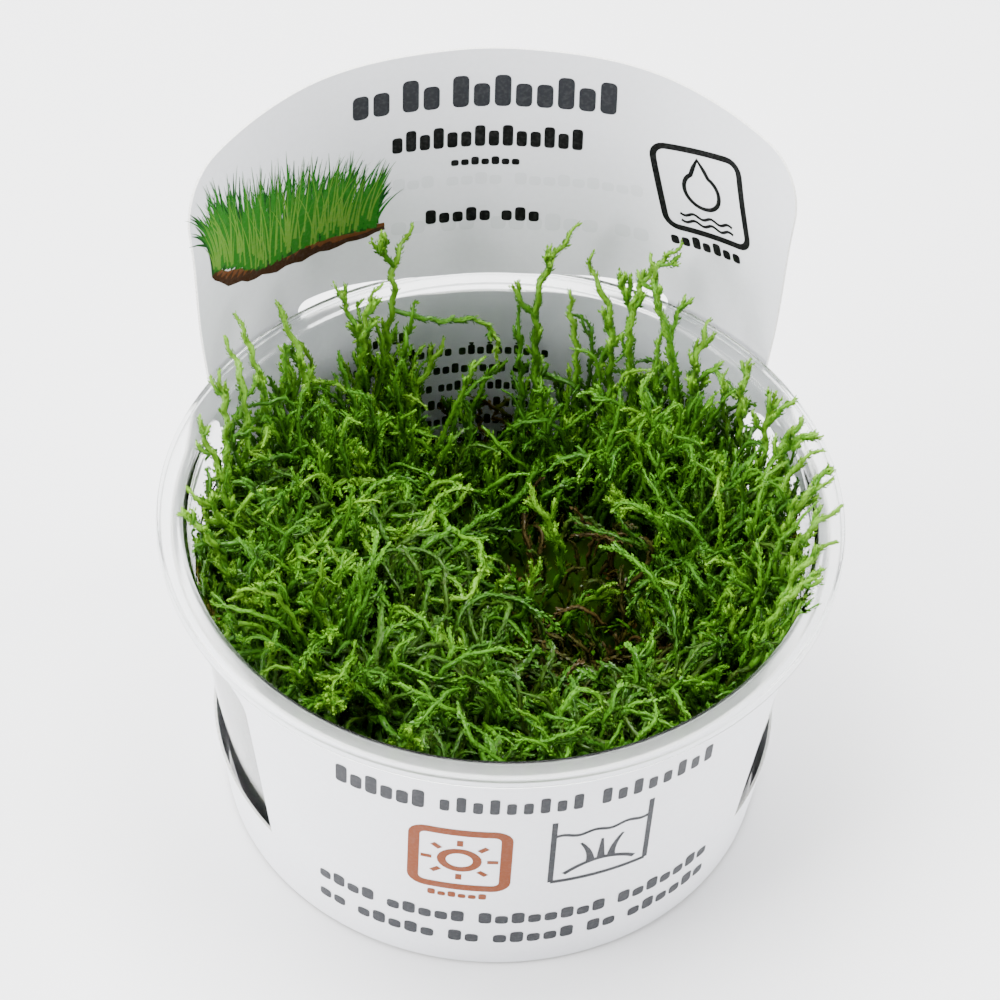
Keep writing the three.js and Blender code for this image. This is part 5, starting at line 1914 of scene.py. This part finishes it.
SHOOTS = (
    Shoot((-13, 30), ((-15, 34, 40), (-15, 37, 55), (-14, 39, 61), (-14, 41, 66), (-11, 45, 71)),
          (((-14, 41, 66), (-15.5, 41, 69), (-16, 41, 72)),
           ((-14, 38.5, 59), (-7, 40, 55), (-1, 42, 53), (2, 41, 50), (2, 40, 46)))),
    Shoot((-20, 28), ((-20, 32, 42), (-19, 33, 57), (-18, 36, 63), (-16, 37.5, 66)),
          (((-19, 33.5, 58), (-21, 36, 61), (-22, 38, 64)),)),
    Shoot((-13, 23), ((-12, 31, 33), (-11, 35, 43), (-8, 38, 48), (-6, 40, 51))),
    Shoot((-31, 14), ((-34, 17, 42), (-34, 20, 58), (-36, 24, 66), (-38, 27, 71))),
    Shoot((-26, 20), ((-28, 24, 42), (-28, 27, 56), (-29, 29, 61), (-32, 33, 67))),
    Shoot((-34, 10), ((-37, 12, 45), (-37, 17, 61), (-38, 22, 65), (-40, 25, 68))),
    Shoot((-35, 5), ((-39, 8, 42), (-40, 12, 54), (-40, 16, 62), (-41, 19, 67))),
    Shoot((-35, 0), ((-39, 4, 40), (-40, 7, 50), (-41, 9, 56), (-43, 11, 61), (-43.5, 11, 65))),
    Shoot((-34, -5), ((-38, 0, 40), (-39.5, 2, 49), (-42, 1, 56), (-44, 1, 59), (-46, 2, 60))),
    Shoot((-34, -10), ((-38, -6, 40), (-40, -4, 48), (-42, -4, 54), (-44, -4, 58.5), (-47, -2.5, 60))),
    Shoot((7, 28), ((8, 34, 38), (8, 38, 52), (8, 40, 59), (10, 42, 65), (14, 43, 72)),
          (((8, 39, 56), (6, 40, 58), (4, 41, 61)),)),
    Shoot((13, 26), ((14, 33, 40), (14, 36, 52), (13, 38, 58), (13, 39, 62))),
    Shoot((19, 26), ((19, 32, 42), (19, 35, 57), (18, 37, 62), (16, 40, 65), (16, 41, 68))),
    Shoot((24, 24), ((23, 30, 42), (21.5, 33, 58), (23, 36, 65), (26, 36.5, 70), (29, 36, 74)),
          (((22, 34.5, 61), (20.5, 36.5, 64), (20.5, 37, 67)),)),
    Shoot((29, 20), ((28.5, 26, 45), (27, 28, 61), (25, 30.5, 68), (24, 33, 75)),
          (((27, 28, 61), (28, 30, 64), (29.5, 32, 67)),)),
    Shoot((34, 14), ((32, 22, 45), (31, 26, 57), (32, 28, 61), (33, 30, 64)),
          (((31, 25.5, 55), (34, 25, 58), (36, 23, 55)),)),
    Shoot((36, 9), ((38, 16, 42), (37.5, 20, 53), (38, 22.5, 58), (39, 24.5, 61))),
    Shoot((37, 4), ((39.5, 10, 42), (40.5, 13.5, 52), (41, 16, 57), (42.5, 18, 60.5)),
          (((41, 15.5, 56), (43, 15.5, 59.5), (45, 16, 61)),)),
    Shoot((38, 0), ((41, 5, 42), (41.5, 8, 52), (43, 10, 57), (45.3, 12, 60.5)),
          (((42.5, 9.5, 56), (44.5, 8.7, 60), (47, 9.2, 61)),)),
    Shoot((38, -5), ((41, 0, 42), (41.8, 3, 52), (43.5, 5, 57), (45.5, 5, 60), (47.5, 5, 61.5))),
    Shoot((37, -9), ((40, -6, 42), (41.5, -3, 51), (43.5, -2, 57), (46, -1, 60), (48.7, 0, 60.5))),
    Shoot((37, -14), ((40, -11, 42), (41, -9, 51), (43.5, -8, 57), (46.8, -6, 59), (49.7, -4.5, 59.5))),
    Shoot((34.5, -17.5), ((38.5, -17, 42), (40, -15, 51), (42.5, -14, 57), (45.3, -12.5, 59),
                          (47.7, -11, 59.3))),
    Shoot((31, -21), ((35.5, -21, 42), (37.5, -20, 51), (40.5, -19, 57), (43.4, -18, 59), (45, -16.5, 59.8))),
    Shoot((-22, -1), ((-23, -5, 38), (-24, -5, 45), (-24, -3, 49), (-28, 0, 51))),
    Shoot((-18, -9), ((-21, -11, 38), (-25, -14, 45), (-27, -12, 48), (-30, -13, 50))),
    Shoot((-20, 4), ((-20, 2, 36), (-20, 2, 42), (-20, 4, 47))),
    Shoot((-24, 15), ((-23, 13, 39), (-19, 8, 43), (-15, 5, 45), (-12, 5, 46), (-9, 8, 47))),
    Shoot((-10, 20), ((-9, 17, 38), (-7, 7, 44), (-3, 2, 46), (-3, -3, 46), (-5, -7, 45), (-9, -7, 44),
                      (-13, -5, 43))),
    Shoot((-9, -3), ((-11, -6, 37), (-14, -11, 41), (-18, -14, 42), (-21, -16, 44))),
    Shoot((-4, -16), ((-5, -17, 37), (-8, -15, 42), (-11, -13, 46))),
    Shoot((-34, -14), ((-36, -14, 40), (-36, -10, 46), (-38, -9, 49), (-40, -11, 50))),
    Shoot((-20, -20), ((-23, -21, 40), (-24, -24, 45), (-26, -28, 48), (-26, -32, 50))),
    Shoot((9, 11), ((10, 8, 30), (10, 8, 38), (7, 10, 44), (5, 12, 48))),
    Shoot((6, 4), ((10, 6, 22), (15, 6, 28), (20, 5, 31))),
    Shoot((8, -9), ((13, -9, 20), (19, -8, 25), (23, -6, 28), (23, -3, 32), (21, 0, 36))),
    Shoot((33, -13), ((34, -14, 32), (34.5, -15, 40), (33.5, -14, 44), (33.5, -13, 48))),
    Shoot((31, 3), ((31, 4, 33), (29, 4, 38), (27, 5, 42))),
    Shoot((4, -26), ((6, -25, 30), (8, -24, 34), (5, -23, 40))),
    Shoot((2, 1), ((1, 0, 32), (0, 0, 38), (1, -1, 42)),
          (((1.5, 0.5, 30), (4, -1, 34), (5, 0, 39), (5, 1, 43)),)),
    Shoot((24, 16), ((23, 15, 32), (21, 14, 38), (18, 14, 42))),
    Shoot((-12, -30), ((-13, -33, 40), (-15, -36, 47), (-13, -38, 50))),
)


@dataclass
class MossTuft:
    """The living moss: the mat, the large shoots and the thickets between them.

    Attributes:
        cup: The cup that it stands in.
        form: The height of the dense moss.
        foot_depth: How far under the dense moss's top a large shoot starts.
        route_step: The distance between the points of a large shoot.
        leaf: The length of its leaves.
        vigour: Its freshness.
        companions: How many thinner shoots climb beside each large one, on average.
        seed: The seed of all that differs.
    """

    cup: ClearCup
    form: MatForm = field(default_factory=MatForm)
    foot_depth: float = 7.0
    route_step: float = 0.9
    leaf: float = 0.72
    vigour: float = 0.95
    companions: float = 1.3
    seed: int = 20

    def _strand(self, points: Sequence[Point], stem: float, leafy_from: float) -> Strands:
        """Make one strand of a large shoot.

        Args:
            points: Its route.
            stem: The radius of its stem.
            leafy_from: The share of its length from which it has leaves.

        Returns:
            The strand.
        """
        length = np.linalg.norm(np.diff(np.array(points, float), axis=0), axis=1).sum()
        line = smooth_route(points, max(8, round(length / self.route_step)))
        values = (np.array([value]) for value in (stem, leafy_from, self.leaf, self.vigour))
        return Strands(line[None], *values)

    def _beside(self, main: Strands, rng: np.random.Generator) -> Strands:
        """Let thinner shoots climb beside a large one and end short of its tip.

        Args:
            main: The large shoot.
            rng: The source of their differences.

        Returns:
            The thinner shoots.
        """
        _, side, across = main.frames()
        count, points = rng.poisson(self.companions), 26
        ends = rng.uniform(0.6, 0.92, count)
        line = []
        for end in ends:
            spots = np.linspace(0.0, end * (main.points.shape[1] - 1), points)
            low = spots.astype(int)
            turn = rng.uniform(0.0, FULL_TURN) + np.linspace(0.0, rng.normal(0.0, 1.6), points)
            reach = rng.uniform(1.4, 3.4) * np.linspace(0.5, 1.15, points)
            swing = side[0, low] * np.cos(turn)[:, None] + across[0, low] * np.sin(turn)[:, None]
            line.append(between(main.points, 0, spots) + swing * reach[:, None])
        return Strands(
            np.array(line).reshape(-1, points, 3), rng.uniform(0.3, 0.4, count), np.full(count, 0.25),
            rng.uniform(0.62, 0.78, count), rng.uniform(0.6, 0.95, count),
        )

    def _large_shoot(self, number: int, shoot: Shoot, finish: bpy.types.Material) -> bpy.types.Object:
        """Dress one large shoot with its forks, side shoots and companions.

        Args:
            number: Its number, from 1.
            shoot: Its route and forks.
            finish: The material of fresh moss.

        Returns:
            The shoot.
        """
        rng = np.random.default_rng([self.seed, number])
        x, y = shoot.foot
        foot = (x, y, float(self.form.height(x, y)) - self.foot_depth)
        route = [foot, *(spot for spot in shoot.route if spot[2] > foot[2] + 3.0)]
        main = self._strand(route, stem=0.46, leafy_from=0.3).twisted(rng, reach=0.28, pitch=4.4)
        moss = MossBuilder(self.cup, rng, leaves_per_mm=7.4, spread=24.0)
        moss.add(main, sides=6)
        twigs = side_shoots(main, rng, per_shoot=4.5, reach=(2.0, 4.6), first=0.5, points=8)
        for fork in shoot.forks:
            branch = self._strand(fork, stem=0.4, leafy_from=0.05).twisted(rng, reach=0.22, pitch=4.0)
            moss.add(branch, sides=5)
            small = side_shoots(branch, rng, per_shoot=2.0, reach=(2.0, 4.0), first=0.35, points=7)
            moss.add(small, sides=4)
        for crowd in (twigs, side_shoots(twigs, rng, per_shoot=0.7, reach=(1.2, 2.2), first=0.4)):
            if len(crowd.stem):
                moss.add(crowd, sides=4)
        beside = self._beside(main, rng)
        if len(beside.stem):
            moss.add(beside.twisted(rng, reach=0.2, pitch=4.2), sides=4)
            moss.add(side_shoots(beside, rng, per_shoot=1.5, reach=(2.0, 4.0), first=0.6), sides=3)
        return moss.surface.build(f"shoot_{number:02d}", [finish], "moss_green", [f"moss_shoot_{number:02d}"])

    def _thicket(self, number: int, thicket: Thicket, finish: bpy.types.Material) -> bpy.types.Object:
        """Grow one thicket as one piece.

        Args:
            number: Its number, from 0.
            thicket: How it grows.
            finish: The material of fresh moss.

        Returns:
            The thicket.
        """
        rng = np.random.default_rng([self.seed, 100 + number])
        shoots = thicket.grow(self.form, self.cup, rng)
        moss = MossBuilder(self.cup, rng)
        moss.add(shoots.twisted(rng, reach=0.16, pitch=4.4), sides=3)
        moss.add(side_shoots(shoots, rng, thicket.side_shoots, reach=(1.6, 4.4)), sides=3)
        return moss.surface.build(thicket.name, [finish], "moss_green", ["moss_mat"])

    def build(self) -> list[bpy.types.Object]:
        """Make all the moss.

        Returns:
            Its pieces.
        """
        fresh = MossFinish("fresh_moss", roughness=0.48, coat=0.22, shine=0.2).material()
        old = MossFinish("old_moss", roughness=0.75, coat=0.0, shine=0.03).material()
        pieces = [MossMat(self.form, self.cup).build(old, np.random.default_rng([self.seed, 0]))]
        for number, shoot in enumerate(SHOOTS, 1):
            pieces.append(self._large_shoot(number, shoot, fresh))
        for number, thicket in enumerate(THICKETS):
            pieces.append(self._thicket(number, thicket, fresh))
        return pieces


@dataclass
class StudioCamera:
    """The camera at the photo's viewing angle."""

    focal_pixels: float = 3934.5
    distance: float = 575.15
    elevation: float = 48.01
    roll: float = 2.458
    turn: float = -5.5
    aim: Point = (-0.267, 0.0, 58.04)

    def build(self) -> None:
        """Place the camera and make it the scene's own."""
        up, tilt = math.radians(self.elevation), math.radians(self.roll)
        ahead = Vector((0.0, math.cos(up), -math.sin(up)))
        right = Vector((1.0, 0.0, 0.0))
        above = right.cross(ahead)
        place = Vector(self.aim) - ahead * self.distance
        facing = Matrix((right, above, -ahead)).transposed().to_4x4() @ Matrix.Rotation(tilt, 4, "Z")
        data = bpy.data.cameras.new("studio_camera")
        data.sensor_width = SENSOR_WIDTH
        data.lens = self.focal_pixels * SENSOR_WIDTH / IMAGE_SIDE
        data.clip_start, data.clip_end = 0.01, 50.0
        camera = bpy.data.objects.new("studio_camera", data)
        bpy.context.scene.collection.objects.link(camera)
        around_cup = Matrix.Rotation(math.radians(self.turn), 4, "Z")
        camera.matrix_world = around_cup @ Matrix.Translation(place * MM) @ facing
        bpy.context.scene.camera = camera


@dataclass(frozen=True)
class SoftLight:
    """A square lamp, with its place, its side and what it points at in metres, and its power."""

    name: str
    place: Point
    side: float
    power: float
    colour: Point = (1.0, 1.0, 1.0)
    aim: Point = (0.0, 0.0, 0.05)

    def build(self) -> None:
        """Hang the lamp."""
        data = bpy.data.lights.new(self.name, "AREA")
        data.shape, data.size = "SQUARE", self.side
        data.energy, data.color = self.power, self.colour
        lamp = bpy.data.objects.new(self.name, data)
        lamp.location = self.place
        lamp.rotation_euler = (Vector(self.aim) - Vector(self.place)).to_track_quat("-Z", "Y").to_euler()
        bpy.context.scene.collection.objects.link(lamp)


@dataclass
class Studio:
    """The pale floor, the soft lamps and the light all round."""

    floor_side: float = 6.0
    floor_drop: float = 0.1
    sky: Point = (0.96, 0.98, 1.0)
    sky_strength: float = 0.24
    lights: tuple[SoftLight, ...] = (
        SoftLight("top_light", (-0.15, 0.3, 1.4), side=1.2, power=88.0),
        SoftLight("left_light", (-1.15, -0.35, 0.5), side=0.8, power=38.0),
        SoftLight("right_light", (1.15, -0.15, 0.5), side=0.8, power=24.0),
    )

    def build(self) -> None:
        """Lay the floor, hang the lamps and set the light all round."""
        half, low = self.floor_side / 2, -self.floor_drop * MM
        mesh = bpy.data.meshes.new("floor")
        corners = [(-half, -half, low), (half, -half, low), (half, half, low), (-half, half, low)]
        mesh.from_pydata(corners, [], [(0, 1, 2, 3)])
        mesh.materials.append(TableTop().material())
        floor = bpy.data.objects.new("floor", mesh)
        bpy.context.scene.collection.objects.link(floor)
        floor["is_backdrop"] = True
        for light in self.lights:
            light.build()
        world = bpy.data.worlds.new("studio")
        world.use_nodes = True
        glow = world.node_tree.nodes["Background"]
        glow.inputs["Color"].default_value = (*self.sky, 1.0)
        glow.inputs["Strength"].default_value = self.sky_strength
        bpy.context.scene.world = world


def write_sizes() -> None:
    """Measure the frame's box and the visual model's box, and keep neither."""
    boxes = {"cad": CAD_BOX, "visual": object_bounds()}
    {name: [list(corner) for corner in box] for name, box in boxes.items()}


def main() -> None:
    """Build the scene in order."""
    logging.basicConfig(level=logging.INFO, format="%(message)s")
    StudioCamera().build()
    Studio().build()
    cup = ClearCup()
    cup.build(ClearPlastic())
    sleeve = CardSleeve()
    sleeve.build(CoatedCard(), CutCard())
    prints = SleevePrint(sleeve)
    prints.front()
    prints.tab()
    prints.back()
    pieces = MossTuft(cup).build()
    total = sum(len(piece.data.polygons) for piece in pieces)
    LOG.info("moss: %d pieces, %d triangles", len(pieces), total)
    write_sizes()


if __name__ == "__main__":
    main()
